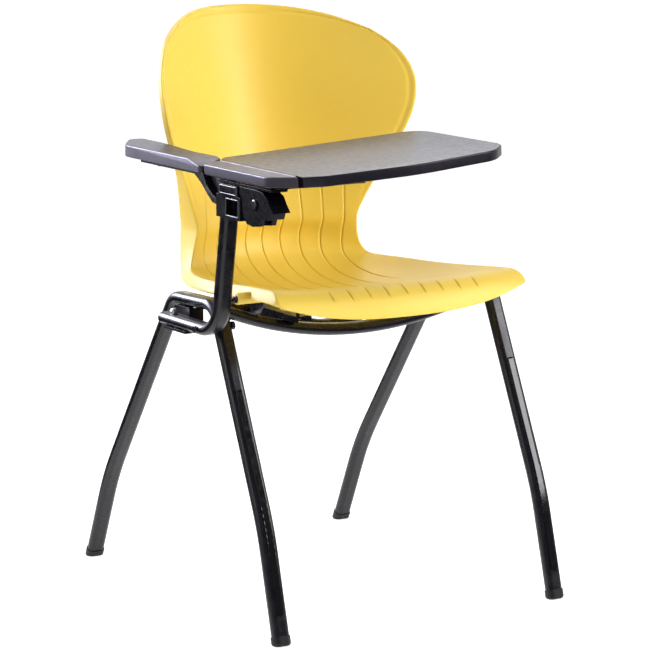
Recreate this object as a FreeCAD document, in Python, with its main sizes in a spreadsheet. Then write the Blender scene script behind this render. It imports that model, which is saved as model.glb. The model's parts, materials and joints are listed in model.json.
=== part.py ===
"""Stacking chair with a moulded one-piece shell, an oval-tube frame, one armrest
and a writing tablet that swings down and whose leaf folds up.

The chair stands on z = 0 and faces -Y. The sitter's right side is -X.
"""
import FreeCAD, Part
import math
import os
import Sketcher
from FreeCAD import Placement, Rotation, Vector

SIZES = {
    # Oval tube and the gaps between pieces
    "tube_width": 25, "tube_depth": 16, "tube_wall": 1.5,
    "contact_gap": 0.2, "running_gap": 0.4, "pin_gap": 0.06, "overrun": 60,
    # Side frames
    "seat_half_width": 176, "skirt_flare": 8, "frame_gap": 20.3, "toe_share": 0.015,
    "rail_height": 423, "rail_rise": 4, "rail_rear_reach": 10, "rail_front_reach": 104,
    "rear_bend_reach": 215, "rear_bend_height": 133, "rear_foot_reach": 274,
    "front_bend_reach": 231.6, "front_bend_height": 147, "front_foot_reach": 272,
    "leg_bend_radius": 400, "rail_bend_radius": 30,
    "foot_height": 12, "glide_lip": 1.2, "glide_round": 3.5, "glide_stem": 20,
    "strip_width": 9, "strip_thickness": 1.2, "strip_top_height": 321, "strip_low_height": 40,
    # Crossbars and the channels that carry the shell
    "front_bar_reach": 112, "front_bar_drop": 45, "front_bar_end_drop": 1.3,
    "rear_bar_reach": 30, "rear_bar_drop": 57.5, "rear_bar_end_drop": 0.5, "rear_bar_radius": 100,
    "channel_middle": 115, "channel_width": 24, "channel_wall": 3,
    "channel_front_reach": 156, "channel_rear_reach": 40, "channel_tail_drop": 3.5, "channel_nose_rise": 1,
    "notch_gap": 1.2,
    "seat_screw_front_reach": 140, "seat_screw_rear_reach": 12, "seat_screw_radius": 2.5,
    "seat_screw_head": 5, "seat_screw_head_height": 3, "seat_screw_length": 11, "boss_radius": 8,
    # Shell
    "shell_wall": 5, "seat_drop": 12, "seat_rise": 42, "crease_rise": 86, "back_height": 305,
    "back_half_width": 207, "back_reach": 228, "seat_reach": 246, "skirt_depth": 46,
    "lug_radius": 8, "lug_reach": 203.6, "lug_front_reach": 128, "lug_rise": 14.5,
    "tab_inset": 163, "tab_thickness": 3, "tab_half_width": 11, "tab_top_rise": 18.7,
    "side_screw_radius": 2.5, "side_screw_head": 5.5, "side_screw_head_height": 2.5,
    "side_screw_length": 36, "screw_gap": 0.15,
    # Arm tube and its mounting on the frame
    "arm_offset": 29.2, "arm_drop": 23, "arm_rear_inset": 15, "arm_corner_reach": 158,
    "arm_bend_radius": 45, "post_height": 197, "post_lean": 33.5,
    "plug_cap": 4, "plug_lip": 0.1, "plug_stem": 15,
    "plate_thickness": 3.5, "plate_half_width": 11, "plate_rear_inset": 26, "plate_front_reach": 84,
    "riser_width": 22, "riser_rear_reach": 6, "riser_depth": 50, "riser_relief": 11,
    "arm_bolt_reach": 34, "bolt_radius": 3, "bolt_head_radius": 5,
    "bolt_head_height": 3, "nut_radius": 5.5, "nut_height": 7, "front_bolt_reach": 116.3,
    "spacer_radius": 7,
    # Pivot housing, swing pin and locking cam
    "housing_half_width": 14.5, "housing_rear_gap": 12.5, "housing_rear_wall": 3,
    "housing_depth": 61, "housing_height": 30, "housing_drop": 38, "cap_height": 14, "cap_front_inset": 7, "cap_rear_inset": 7,
    "recess_depth": 11, "recess_rim": 4, "recess_length": 36,
    "pin_reach": 96, "pin_drop": 13, "pin_radius": 4, "pin_head_radius": 7, "pin_head_height": 2.2,
    "clip_thickness": 1.6, "tongue_width": 10, "tongue_radius": 9,
    "cam_half_width": 13, "cam_length": 84, "cam_height": 48,
    "housing_bolt_radius": 2.5, "housing_bolt_head": 4.2,
    "housing_bolt_head_height": 3, "housing_bolt_length": 12,
    # Arm bracket and armrest
    "bracket_plate": 3, "bracket_half_width": 13.5, "bracket_rear_reach": 30,
    "bracket_front_reach": 141, "flange_thickness": 8, "web_thickness": 4,
    "pad_height": 16, "pad_rear_reach": 127, "pad_front_reach": 142, "pad_outer": 16,
    "pad_inner_gap": 16, "pad_lift": 1.2, "pad_round": 2, "pad_nose_drop": 9, "pad_nose_length": 40,
    "rest_screw_rear_reach": 2, "rest_screw_front_reach": 104, "rest_screw_length": 12,
    # Tablet
    "tablet_tilt": 3, "tablet_thickness": 14, "tablet_lift": 12.5, "tablet_width": 368,
    "tablet_depth": 260, "tablet_rear_reach": 101, "tablet_round": 2,
    "seam_place": 31, "seam_half_gap": 2.6, "hinge_knuckle": 2.2, "hinge_pin_radius": 1.2,
    "hinge_axis_drop": 1, "leaf_thickness": 1, "leaf_height": 9, "leaf_space": 0.5,
    "knuckle_gap": 0.4, "hinge_length": 190,
    "carrier_thickness": 3, "carrier_rear_inset": 76.5, "carrier_front_inset": 51,
    "carrier_arm": 122, "carrier_arm_inset": 71, "carrier_arm_width": 55,
    "rest_length": 36, "rest_width": 24,
    "strip_screw_radius": 2, "strip_screw_head": 4, "strip_screw_head_height": 1.6,
    "strip_screw_length": 9, "strip_boss_radius": 6,
}

# Moulded shell, as shares. Each row runs across the shell, from its middle to its side edge:
# middle reach, middle height, edge half width, edge reach, edge height, flatness of the wings,
# and the skirt behind the edge: outward, backward and downward shares of the skirt's depth.
# Back rows: reach over the back's reach, height above the crease over the back's height.
BACK_ROW_SHARES = [
    (0.992, 0.987, 0.807, 0.518, 0.871, 0.18, 0.02, 0.20, 0.00),
    (0.944, 0.862, 0.929, 0.387, 0.807, 0.20, 0.02, 0.21, 0.00),
    (0.895, 0.731, 1.005, 0.287, 0.702, 0.40, 0.02, 0.22, 0.00),
    (0.855, 0.633, 1.004, 0.247, 0.591, 0.50, 0.02, 0.24, 0.00),
    (0.820, 0.534, 0.969, 0.255, 0.487, 0.50, 0.03, 0.27, 0.00),
    (0.781, 0.436, 0.914, 0.282, 0.398, 0.50, 0.03, 0.30, 0.00),
    (0.746, 0.338, 0.844, 0.317, 0.310, 0.50, 0.04, 0.34, 0.00),
    (0.706, 0.239, 0.783, 0.360, 0.226, 0.50, 0.05, 0.42, 0.00),
    (0.667, 0.125, 0.715, 0.404, 0.125, 0.50, 0.05, 0.66, 0.00),
    (0.632, 0.033, 0.655, 0.436, 0.036, 0.45, 0.05, 0.92, 0.00),
    (0.614, 0.000, 0.638, 0.439, -0.007, 0.40, 0.05, 1.00, 0.00),
    (0.625, -0.030, 0.646, 0.445, -0.040, 0.40, 0.05, 0.96, 0.02),
]
# Seat rows: reach over the seat's reach, half width over the seat's, height over the seat's rise.
SEAT_ROW_SHARES = [
    (0.622, 1.476, 0.773, 0.427, 1.333, 0.30, 0.04, 0.80, 0.10),
    (0.594, 0.833, 0.824, 0.407, 0.762, 0.10, 0.08, 0.50, 0.34),
    (0.496, 0.405, 0.886, 0.325, 0.738, 0.00, 0.12, 0.20, 0.38),
    (0.366, 0.143, 0.938, 0.224, 0.738, 0.00, 0.15, 0.04, 0.37),
    (0.183, 0.012, 0.972, 0.102, 0.762, 0.00, 0.17, 0.00, 0.36),
    (-0.041, 0.048, 0.994, -0.061, 0.786, 0.00, 0.17, 0.00, 0.36),
    (-0.244, 0.190, 0.989, -0.244, 0.857, 0.00, 0.17, 0.00, 0.36),
    (-0.447, 0.429, 1.000, -0.447, 0.952, 0.00, 0.17, 0.00, 0.36),
    (-0.650, 0.714, 1.034, -0.630, 1.036, 0.00, 0.17, 0.00, 0.36),
    (-0.805, 0.976, 1.068, -0.785, 1.095, 0.00, 0.16, 0.00, 0.37),
    (-0.860, 1.000, 1.095, -0.835, 1.090, 0.00, 0.13, 0.00, 0.34),
    (-0.927, 0.880, 1.117, -0.880, 1.000, 0.00, 0.08, 0.05, 0.26),
    (-0.984, 0.524, 1.125, -0.915, 0.830, 0.00, 0.03, 0.14, 0.12),
    (-1.000, 0.048, 1.114, -0.935, 0.690, 0.00, 0.00, 0.20, 0.00),
]
ACROSS_SHARES = [-1, -0.94, -0.82, -0.64, -0.43, -0.21, 0, 0.21, 0.43, 0.64, 0.82, 0.94, 1]

# Side view of the locking cam, as shares of its length in front of its rear top corner
# and of its height below it.
CAM_OUTLINE_SHARES = [
    (0, 0), (0.42, 0), (0.65, 0.02), (0.81, 0.15), (0.89, 0.35), (1, 0.54), (0.87, 0.53),
    (0.81, 0.75), (0.63, 0.74), (0.57, 0.96), (0.39, 1), (0.215, 0.96), (0.115, 0.77),
    (0.065, 0.54), (0.06, 0.30), (0, 0.19),
]

# Plan of the folding leaf: share of the tablet's width from its outer edge, share of its depth
# in front of its rear edge, and the corner's radius as a share of the depth.
LEAF_OUTLINE_SHARES = [
    (0.160, 0.975, 0.10), (0.530, 1.008, 1.2), (0.897, 0.912, 0.23), (1.0, 0.765, 0.15),
    (0.997, 0, 0.115), (0.400, 0.044, 1.5), (0.125, 0.056, 0.035),
]

os.makedirs("parts", exist_ok=True)
doc = FreeCAD.newDocument("TabletChair")
sheet = doc.addObject("Spreadsheet::Sheet", "Sizes")
for row, (size_name, size_value) in enumerate(SIZES.items(), start=1):
    sheet.set(f"A{row}", size_name)
    sheet.set(f"B{row}", str(size_value))
    sheet.setAlias(f"B{row}", size_name)
doc.recompute()


class Length:
    """A size or place: its value now and its formula in the sheet's names."""

    def __init__(self, text, value):
        self.text = text
        self.value = value

    def __add__(self, other):
        other = as_length(other)
        return Length(f"({self.text} + {other.text})", self.value + other.value)

    def __sub__(self, other):
        other = as_length(other)
        return Length(f"({self.text} - {other.text})", self.value - other.value)

    def __mul__(self, other):
        other = as_length(other)
        return Length(f"({self.text} * {other.text})", self.value * other.value)

    def __truediv__(self, other):
        other = as_length(other)
        return Length(f"({self.text} / {other.text})", self.value / other.value)

    def __neg__(self):
        return Length(f"(0 - {self.text})", -self.value)

    def __radd__(self, other):
        return as_length(other) + self

    def __rsub__(self, other):
        return as_length(other) - self

    def __rmul__(self, other):
        return as_length(other) * self

    def root(self):
        return Length(f"sqrt({self.text})", math.sqrt(self.value))


def as_length(number):
    if isinstance(number, Length):
        return number
    return Length(f"({number})", float(number))


class Named:
    """The sheet's sizes by name."""

    def __getattr__(self, name):
        return Length(f"Sizes.{name}", float(getattr(sheet, name)))


the = Named()
nodes = []

# Places that several pieces share
TRACK = the.seat_half_width + the.skirt_flare + the.frame_gap + the.tube_width / 2
ARM_X = -(TRACK + the.arm_offset)
ARM_Z = the.rail_height - the.arm_drop
POST_TOP_Y = -(the.arm_corner_reach + the.post_lean)
POST_TOP_Z = ARM_Z + the.post_height
HOUSING_REAR = POST_TOP_Y + the.housing_rear_gap + the.housing_rear_wall
PIN_Y = HOUSING_REAR - the.pin_reach
PIN_Z = POST_TOP_Z - the.pin_drop
OUTER_X = ARM_X - the.pad_outer
TABLET_Z = POST_TOP_Z + the.tablet_lift
FOOT_OUTER = TRACK + the.front_foot_reach * the.toe_share + the.tube_width / 2 + the.glide_lip
TABLET_FRONT_Y = -(the.tablet_rear_reach + the.tablet_depth)
REAR_LEAN = (the.rear_foot_reach - the.rear_bend_reach) / the.rear_bend_height
FOOT_REAR = the.rear_foot_reach + the.tube_depth / 2 + the.glide_lip
SHIFT_X = -(OUTER_X + FOOT_OUTER) / 2
SHIFT_Y = -(TABLET_FRONT_Y + FOOT_REAR) / 2


def bind(piece, prop, length):
    piece.setExpression(prop, as_length(length).text)


def stand(piece, x=0, y=0, z=0):
    """Put a piece at a place of the chair, whose origin is the middle of its footprint."""
    bind(piece, "Placement.Base.x", SHIFT_X + x)
    bind(piece, "Placement.Base.y", SHIFT_Y + y)
    bind(piece, "Placement.Base.z", z)


def keep(piece, name):
    """Name a piece and list it as one of the chair's nodes."""
    piece.Label = name
    nodes.append(piece)
    return piece


def new_body(name):
    body = doc.addObject("PartDesign::Body", name)
    stand(body)
    return body


def new_sketch(body, role, offset=0):
    plane = next(feature for feature in body.Origin.OriginFeatures if feature.Role == role)
    sketch = body.newObject("Sketcher::SketchObject", body.Name + "Sketch")
    sketch.AttachmentSupport = [(plane, "")]
    sketch.MapMode = "FlatFace"
    bind(sketch, "AttachmentOffset.Base.z", offset)
    return sketch


def fix(sketch, kind, references, length):
    """Add a driving dimension bound to the sheet."""
    length = as_length(length)
    index = sketch.addConstraint(Sketcher.Constraint(kind, *references, length.value))
    bind(sketch, f"Constraints[{index}]", length)


def fix_point(sketch, geometry, end, x, y):
    fix(sketch, "DistanceX", (-1, 1, geometry, end), x)
    fix(sketch, "DistanceY", (-1, 1, geometry, end), y)


def nearer_end(sketch, curve, point):
    return min((1, 2), key=lambda end: (sketch.getPoint(curve, end) - point).Length)


def rounded(before, corner, after, radius):
    """Tangent points and middle of the arc that rounds a corner."""
    back = (before - corner).normalize()
    ahead = (after - corner).normalize()
    half = back.getAngle(ahead) / 2
    reach = radius / math.tan(half)
    middle = (back + ahead).normalize()
    return corner + back * reach, corner + middle * (radius / math.sin(half) - radius), corner + ahead * reach


def trace(sketch, corners, closed=True):
    """Draw straight runs through the corners; a corner with a third value is rounded by it."""
    corners = [tuple(as_length(value) for value in corner) for corner in corners]
    spots = [Vector(corner[0].value, corner[1].value, 0) for corner in corners]
    count = len(corners)
    arrive, leave, arcs = list(spots), list(spots), {}
    for index, corner in enumerate(corners):
        if len(corner) == 3:
            before, after = spots[index - 1], spots[(index + 1) % count]
            start, middle, end = rounded(before, spots[index], after, corner[2].value)
            arrive[index], leave[index] = start, end
            arcs[index] = sketch.addGeometry(Part.Arc(start, middle, end), False)
    runs = {}
    for index in range(count if closed else count - 1):
        line = Part.LineSegment(leave[index], arrive[(index + 1) % count])
        runs[index] = sketch.addGeometry(line, False)
    for index, corner in enumerate(corners):
        inward, outward = runs.get((index - 1) % count), runs.get(index)
        if not closed and index == 0:
            fix_point(sketch, outward, 1, corner[0], corner[1])
        elif not closed and index == count - 1:
            fix_point(sketch, inward, 2, corner[0], corner[1])
        elif index in arcs:
            round_corner(sketch, corner, spots[index], inward, outward,
                         arcs[index], arrive[index], leave[index])
        else:
            sketch.addConstraint(Sketcher.Constraint("Coincident", inward, 2, outward, 1))
            fix_point(sketch, outward, 1, corner[0], corner[1])


def round_corner(sketch, corner, spot, inward, outward, arc, start, end):
    """Tie an arc to the two runs that it joins, about a named corner."""
    first, second = nearer_end(sketch, arc, start), nearer_end(sketch, arc, end)
    sketch.addConstraint(Sketcher.Constraint("Tangent", inward, 2, arc, first))
    sketch.addConstraint(Sketcher.Constraint("Tangent", arc, second, outward, 1))
    fix(sketch, "Radius", (arc,), corner[2])
    point = sketch.addGeometry(Part.Point(spot), True)
    sketch.addConstraint(Sketcher.Constraint("PointOnObject", point, 1, inward))
    sketch.addConstraint(Sketcher.Constraint("PointOnObject", point, 1, outward))
    fix_point(sketch, point, 1, corner[0], corner[1])


def trace_circle(sketch, x, y, radius):
    x, y, radius = as_length(x), as_length(y), as_length(radius)
    circle = Part.Circle(Vector(x.value, y.value, 0), Vector(0, 0, 1), radius.value)
    index = sketch.addGeometry(circle, False)
    fix(sketch, "Radius", (index,), radius)
    fix_point(sketch, index, 3, x, y)


def pad(body, sketch, depth):
    feature = body.newObject("PartDesign::Pad", body.Name + "Pad")
    feature.Profile = sketch
    bind(feature, "Length", depth)
    return feature


def pocket(body, sketch, depth):
    """Cut along the sketch plane's own direction."""
    feature = body.newObject("PartDesign::Pocket", body.Name + "Pocket")
    feature.Profile = sketch
    feature.Reversed = True
    bind(feature, "Length", depth)
    return feature


def slab(body, role, start, depth, corners):
    sketch = new_sketch(body, role, start)
    trace(sketch, corners)
    return pad(body, sketch, depth)


def cut_slab(body, role, start, depth, corners):
    sketch = new_sketch(body, role, start)
    trace(sketch, corners)
    return pocket(body, sketch, depth)


def disc(body, role, start, depth, x, y, radius):
    sketch = new_sketch(body, role, start)
    trace_circle(sketch, x, y, radius)
    return pad(body, sketch, depth)


def drill(body, role, start, depth, x, y, radius):
    sketch = new_sketch(body, role, start)
    trace_circle(sketch, x, y, radius)
    return pocket(body, sketch, depth)


def box_corners(x_low, x_high, y_low, y_high):
    return [(x_low, y_low), (x_high, y_low), (x_high, y_high), (x_low, y_high)]


def round_edges(body, radius, chosen):
    """Fillet the edges of the body's shape that a rule picks."""
    doc.recompute()
    base = body.Tip
    names = [f"Edge{index + 1}" for index, edge in enumerate(base.Shape.Edges) if chosen(edge)]
    feature = body.newObject("PartDesign::Fillet", body.Name + "Fillet")
    feature.Base = (base, names)
    bind(feature, "Radius", radius)
    return feature


def oval_section(body, path, width, depth, across):
    """A flat oval square to a path's first run, its long side along a given direction."""
    section = body.newObject("Sketcher::SketchObject", body.Name + "Section")
    section.AttachmentSupport = [(path, "Edge1")]
    section.MapMode = "NormalToEdge"
    doc.recompute()
    local = section.Placement.Rotation.multVec(Vector(1, 0, 0))
    turned_section = abs(local.dot(across)) < 0.5
    flat, radius = (width - depth) / 2, depth / 2
    ends = [(flat, -radius), (flat, radius), (-flat, radius), (-flat, -radius)]
    if turned_section:
        ends = [(-y, x) for x, y in ends]
    spots = [Vector(as_length(x).value, as_length(y).value, 0) for x, y in ends]
    pieces = []
    for index in (0, 2):
        centre = (spots[index] + spots[index + 1]) * 0.5
        middle = centre + (centre * (1 / centre.Length)) * radius.value
        pieces.append(section.addGeometry(Part.Arc(spots[index], middle, spots[index + 1]), False))
        run = Part.LineSegment(spots[index + 1], spots[(index + 2) % 4])
        pieces.append(section.addGeometry(run, False))
    for index in range(4):
        corner, following = spots[(index + 1) % 4], pieces[(index + 1) % 4]
        first, second = nearer_end(section, pieces[index], corner), nearer_end(section, following, corner)
        section.addConstraint(Sketcher.Constraint("Tangent", pieces[index], first, following, second))
    for index in (0, 2):
        x = (ends[index][0] + ends[index + 1][0]) / 2
        y = (ends[index][1] + ends[index + 1][1]) / 2
        fix_point(section, pieces[index], 3, x, y)
        fix(section, "Radius", (pieces[index],), radius)
    return section


def oval_run(body, role, offset, corners, width, depth, kind="PartDesign::AdditivePipe"):
    """A flat oval swept along straight runs with tangent bends."""
    path = new_sketch(body, role, offset)
    trace(path, corners, closed=False)
    across = {"XY_Plane": Vector(0, 0, 1), "XZ_Plane": Vector(0, 1, 0), "YZ_Plane": Vector(1, 0, 0)}[role]
    section = oval_section(body, path, as_length(width), as_length(depth), across)
    pipe = body.newObject(kind, body.Name + "Pipe")
    pipe.Profile = section
    pipe.Spine = (path, [])
    doc.recompute()
    return path, pipe


def hollow(body, path, pipe):
    """Open both ends of a swept solid and leave the tube's wall."""
    ends = []
    for point in (path.Shape.Edges[0].firstVertex().Point, path.Shape.Edges[-1].lastVertex().Point):
        faces = enumerate(pipe.Shape.Faces)
        index = min(faces, key=lambda pair: (pair[1].CenterOfMass - point).Length)[0]
        ends.append(f"Face{index + 1}")
    feature = body.newObject("PartDesign::Thickness", body.Name + "Wall")
    feature.Base = (pipe, ends)
    feature.Reversed = True
    bind(feature, "Value", the.tube_wall)
    return feature


TURNS = {"+X": (Vector(0, 0, 1), 0), "-X": (Vector(0, 0, 1), 180), "+Z": (Vector(0, 1, 0), -90)}


def turned(name, toward, x, y, z, outline):
    """A turned piece: corners of (distance along its axis, radius), from the place given."""
    body = doc.addObject("PartDesign::Body", name)
    sketch = new_sketch(body, "XY_Plane")
    trace(sketch, outline)
    feature = body.newObject("PartDesign::Revolution", name + "Turn")
    feature.Profile = sketch
    feature.ReferenceAxis = (sketch, ["H_Axis"])
    feature.Angle = 360
    body.Placement = Placement(Vector(0, 0, 0), Rotation(*TURNS[toward]))
    stand(body, x, y, z)
    return body


def ring_outline(inner, outer, length):
    return [(0, inner), (0, outer), (length, outer), (length, inner)]


def bolt_outline(head_radius, head_height, radius, length):
    end = head_height + length
    return [(0, 0), (0, head_radius * 0.8), (head_height * 0.35, head_radius), (head_height, head_radius),
            (head_height, radius), (end, radius), (end, 0)]


def gather(name, pieces):
    """Identical fasteners share one node."""
    group = doc.addObject("Part::Compound", name)
    group.Links = pieces
    return keep(group, name)


def side_frame_corners():
    rear_end = the.rear_foot_reach - REAR_LEAN * the.foot_height
    front_lean = (the.front_foot_reach - the.front_bend_reach) / the.front_bend_height
    front_end = -(the.front_foot_reach - front_lean * the.foot_height)
    top = the.rail_height
    return [
        (rear_end, the.foot_height),
        (the.rear_bend_reach, the.rear_bend_height, the.leg_bend_radius),
        (the.rail_rear_reach, top, the.rail_bend_radius),
        (-the.rail_front_reach, top + the.rail_rise, the.rail_bend_radius),
        (-the.front_bend_reach, the.front_bend_height, the.leg_bend_radius),
        (front_end, the.foot_height),
    ]


def toe_out(body, side):
    """Turn a side frame's plane about the vertical, so that its front foot stands further out."""
    body.Placement = Placement(Vector(0, 0, 0), Rotation(Vector(0, 0, 1), side * 1.0))
    stand(body, side * TRACK)
    body.setExpression("Placement.Rotation.Angle", f"atan({(the.toe_share * side).text})")


def side_frame(name, side):
    body = doc.addObject("PartDesign::Body", name)
    path, pipe = oval_run(body, "YZ_Plane", 0, side_frame_corners(), the.tube_width, the.tube_depth)
    hollow(body, path, pipe)
    if side < 0:
        drill(body, "YZ_Plane", -the.tube_width, the.tube_width * 2,
              -the.front_bolt_reach, ARM_Z, the.bolt_radius + the.running_gap)
    toe_out(body, side)
    return keep(body, name)


def frame_cope(name, side):
    """The solid outside of a side frame, a contact gap larger, that the crossbars' ends follow."""
    body = doc.addObject("PartDesign::Body", name)
    grown = the.contact_gap * 2
    oval_run(body, "YZ_Plane", 0, side_frame_corners(), the.tube_width + grown, the.tube_depth + grown)
    toe_out(body, side)
    return body


def glide(name, side, foot, bend, bend_height):
    """Foot plug: a stem inside the tube and a wider collar with a rounded sole."""
    body = doc.addObject("PartDesign::Body", name)
    lean = (foot - bend) / bend_height
    wide, deep = the.tube_width + the.glide_lip * 2, the.tube_depth + the.glide_lip * 2
    high, low = the.foot_height, -the.foot_height
    collar = [(foot - lean * high, high), (foot - lean * low, low)]
    oval_run(body, "YZ_Plane", 0, collar, wide, deep)
    sole = new_sketch(body, "XY_Plane", -the.overrun)
    trace(sole, box_corners(-the.overrun, the.overrun, foot - the.overrun, foot + the.overrun))
    pocket(body, sole, the.overrun)
    round_edges(body, the.glide_round, lambda edge: edge.BoundBox.ZMax < 0.01)
    inside = (the.tube_wall + the.contact_gap) * 2
    top = the.foot_height + the.glide_stem
    base = the.foot_height - the.contact_gap
    stem = [(foot - lean * base, base), (foot - lean * top, top)]
    oval_run(body, "YZ_Plane", 0, stem, the.tube_width - inside, the.tube_depth - inside)
    toe_out(body, side)
    return keep(body, name)


def leg_strip(name, side):
    """Glossy strip let into the front of a front leg, from above its bend to near its foot."""
    body = doc.addObject("PartDesign::Body", name)
    away = the.tube_depth / 2 + the.contact_gap / 2 + the.strip_thickness / 2
    upper_y = the.front_bend_reach - the.rail_front_reach
    upper_z = the.rail_height + the.rail_rise - the.front_bend_height
    lower_y = the.front_foot_reach - the.front_bend_reach
    upper_length = (upper_y * upper_y + upper_z * upper_z).root()
    lower_length = (lower_y * lower_y + the.front_bend_height * the.front_bend_height).root()
    upper_normal = (upper_z / upper_length, upper_y / upper_length)
    lower_normal = (the.front_bend_height / lower_length, lower_y / lower_length)
    facing = upper_normal[0] * lower_normal[0] + upper_normal[1] * lower_normal[1] + 1
    corner_y = -the.front_bend_reach - away * (upper_normal[0] + lower_normal[0]) / facing
    corner_z = the.front_bend_height + away * (upper_normal[1] + lower_normal[1]) / facing
    rise = the.strip_top_height - corner_z
    fall = corner_z - the.strip_low_height
    corners = [
        (corner_y + rise * upper_y / upper_z, the.strip_top_height),
        (corner_y, corner_z, the.leg_bend_radius + away),
        (corner_y - fall * lower_y / the.front_bend_height, the.strip_low_height),
    ]
    oval_run(body, "YZ_Plane", 0, corners, the.strip_width, the.strip_thickness)
    toe_out(body, side)
    return keep(body, name)


def coped_bar(name, body, copes):
    """A crossbar whose ends are cut to sit against the side frames."""
    tools = doc.addObject("Part::MultiFuse", name + "Tools")
    tools.Shapes = copes
    bar = doc.addObject("Part::Cut", name)
    bar.Base = body
    bar.Tool = tools
    return keep(bar, name)


def front_bar_ends():
    low = the.rail_height - the.front_bar_drop
    high = the.rail_height - the.front_bar_end_drop
    return low, high


def front_bar_radius():
    low, high = front_bar_ends()
    return (TRACK * TRACK + (high - low) * (high - low)) / ((high - low) * 2)


def front_bar_top(x):
    """Height of the front crossbar's top at a distance from the middle."""
    low, _ = front_bar_ends()
    radius = front_bar_radius()
    upper = radius - the.tube_depth / 2
    return low + radius - (upper * upper - x * x).root()


def front_crossbar(copes):
    body = new_body("FrontBar")
    low, high = front_bar_ends()
    path = new_sketch(body, "XZ_Plane", the.front_bar_reach)
    left, right = Vector(-TRACK.value, high.value, 0), Vector(TRACK.value, high.value, 0)
    arc = path.addGeometry(Part.Arc(left, Vector(0, low.value, 0), right), False)
    left_end, right_end = nearer_end(path, arc, left), nearer_end(path, arc, right)
    fix_point(path, arc, left_end, -TRACK, high)
    fix_point(path, arc, right_end, TRACK, high)
    fix(path, "Radius", (arc,), front_bar_radius())
    section = oval_section(body, path, the.tube_width, the.tube_depth, Vector(0, 1, 0))
    pipe = body.newObject("PartDesign::AdditivePipe", "FrontBarPipe")
    pipe.Profile = section
    pipe.Spine = (path, [])
    doc.recompute()
    hollow(body, path, pipe)
    return coped_bar("front_crossbar", body, copes)


def rear_bar_slope():
    return (the.rear_bar_drop - the.rear_bar_end_drop) / TRACK


def rear_bar_top(x):
    slope = rear_bar_slope()
    half = the.tube_depth / 2 * (slope * slope + 1).root()
    return the.rail_height - the.rear_bar_drop + slope * x + half


def rear_bar_low(x):
    slope = rear_bar_slope()
    return rear_bar_top(x) - the.tube_depth * (slope * slope + 1).root()


def rear_crossbar(copes):
    body = new_body("RearBar")
    ends = the.rail_height - the.rear_bar_end_drop
    corners = [(-TRACK, ends), (0, the.rail_height - the.rear_bar_drop, the.rear_bar_radius), (TRACK, ends)]
    path, pipe = oval_run(body, "XZ_Plane", the.rear_bar_reach, corners, the.tube_width, the.tube_depth)
    hollow(body, path, pipe)
    return coped_bar("rear_crossbar", body, copes)


CHANNEL_OUTER = the.channel_middle + the.channel_width / 2
CHANNEL_INNER = the.channel_middle - the.channel_width / 2
WEB_LOW = rear_bar_top(CHANNEL_OUTER) + the.contact_gap
WEB_TOP = WEB_LOW + the.channel_wall
SEAT_LOW = the.rail_height - the.seat_drop
SCREW_PLACES = [-the.seat_screw_front_reach, the.seat_screw_rear_reach]


def seat_channel(name, side):
    """Steel channel, open downward, that lies across both crossbars and carries the shell."""
    body = new_body(name)
    inner, outer = (CHANNEL_INNER, CHANNEL_OUTER) if side > 0 else (-CHANNEL_OUTER, -CHANNEL_INNER)
    front, rear = -the.channel_front_reach, the.channel_rear_reach
    slab(body, "XY_Plane", WEB_LOW, the.channel_wall, box_corners(inner, outer, front, rear))
    at_bar = front_bar_top(CHANNEL_OUTER) + the.contact_gap
    low = [(front, at_bar + the.channel_nose_rise), (-the.front_bar_reach, at_bar),
           (rear, at_bar - the.channel_tail_drop)]
    corners = low + [(rear, WEB_LOW), (front, WEB_LOW)]
    for start in (inner, outer - the.channel_wall):
        slab(body, "YZ_Plane", start, the.channel_wall, corners)
    half = the.tube_width / 2 + the.notch_gap
    notch = box_corners(-the.rear_bar_reach - half, -the.rear_bar_reach + half,
                        WEB_LOW - the.overrun, WEB_LOW)
    cut_slab(body, "YZ_Plane", inner - the.overrun, the.overrun * 3, notch)
    middle = the.channel_middle * side
    for place in SCREW_PLACES:
        drill(body, "XY_Plane", WEB_LOW - the.overrun, the.overrun * 2,
              middle, place, the.seat_screw_radius + the.screw_gap)
    return keep(body, name)


def seat_screws():
    screws = []
    for side in (-1, 1):
        for place in SCREW_PLACES:
            start = WEB_LOW - the.contact_gap / 2 - the.seat_screw_head_height
            steps = bolt_outline(the.seat_screw_head, the.seat_screw_head_height,
                               the.seat_screw_radius, the.seat_screw_length)
            x = the.channel_middle * side
            screws.append(turned(f"SeatScrew{len(screws)}", "+Z", x, place, start, steps))
    return gather("seat_screws", screws)


LUG_Z = the.rail_height + the.lug_rise


def front_tab(name, side):
    """Steel tab that stands on the front crossbar, inside the shell's skirt."""
    body = new_body(name)
    inner = the.tab_inset * side - (the.tab_thickness if side < 0 else as_length(0))
    low = front_bar_top(the.tab_inset + the.tab_thickness) + the.contact_gap
    high = the.rail_height + the.tab_top_rise
    front, rear = -the.lug_front_reach - the.tab_half_width, -the.lug_front_reach + the.tab_half_width
    base_front = -the.front_bar_reach - the.tab_half_width
    base_rear = -the.front_bar_reach + the.tab_half_width
    slab(body, "YZ_Plane", inner, the.tab_thickness,
         [(base_front, low), (base_rear, low), (base_rear, LUG_Z), (rear, high), (front, high),
          (front, LUG_Z - the.tab_half_width / 2)])
    drill(body, "YZ_Plane", inner - the.overrun, the.overrun * 2,
          -the.lug_front_reach, LUG_Z, the.side_screw_radius + the.screw_gap)
    return keep(body, name)


def shell_side_screws():
    screws = []
    for side in (-1, 1):
        steps = bolt_outline(the.side_screw_head, the.side_screw_head_height,
                           the.side_screw_radius, the.side_screw_length)
        start = (the.lug_reach + the.contact_gap / 2 + the.side_screw_head_height) * side
        toward = "-X" if side > 0 else "+X"
        screws.append(turned(f"SideScrew{len(screws)}", toward, start, -the.lug_front_reach, LUG_Z, steps))
    return gather("shell_side_screws", screws)


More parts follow.
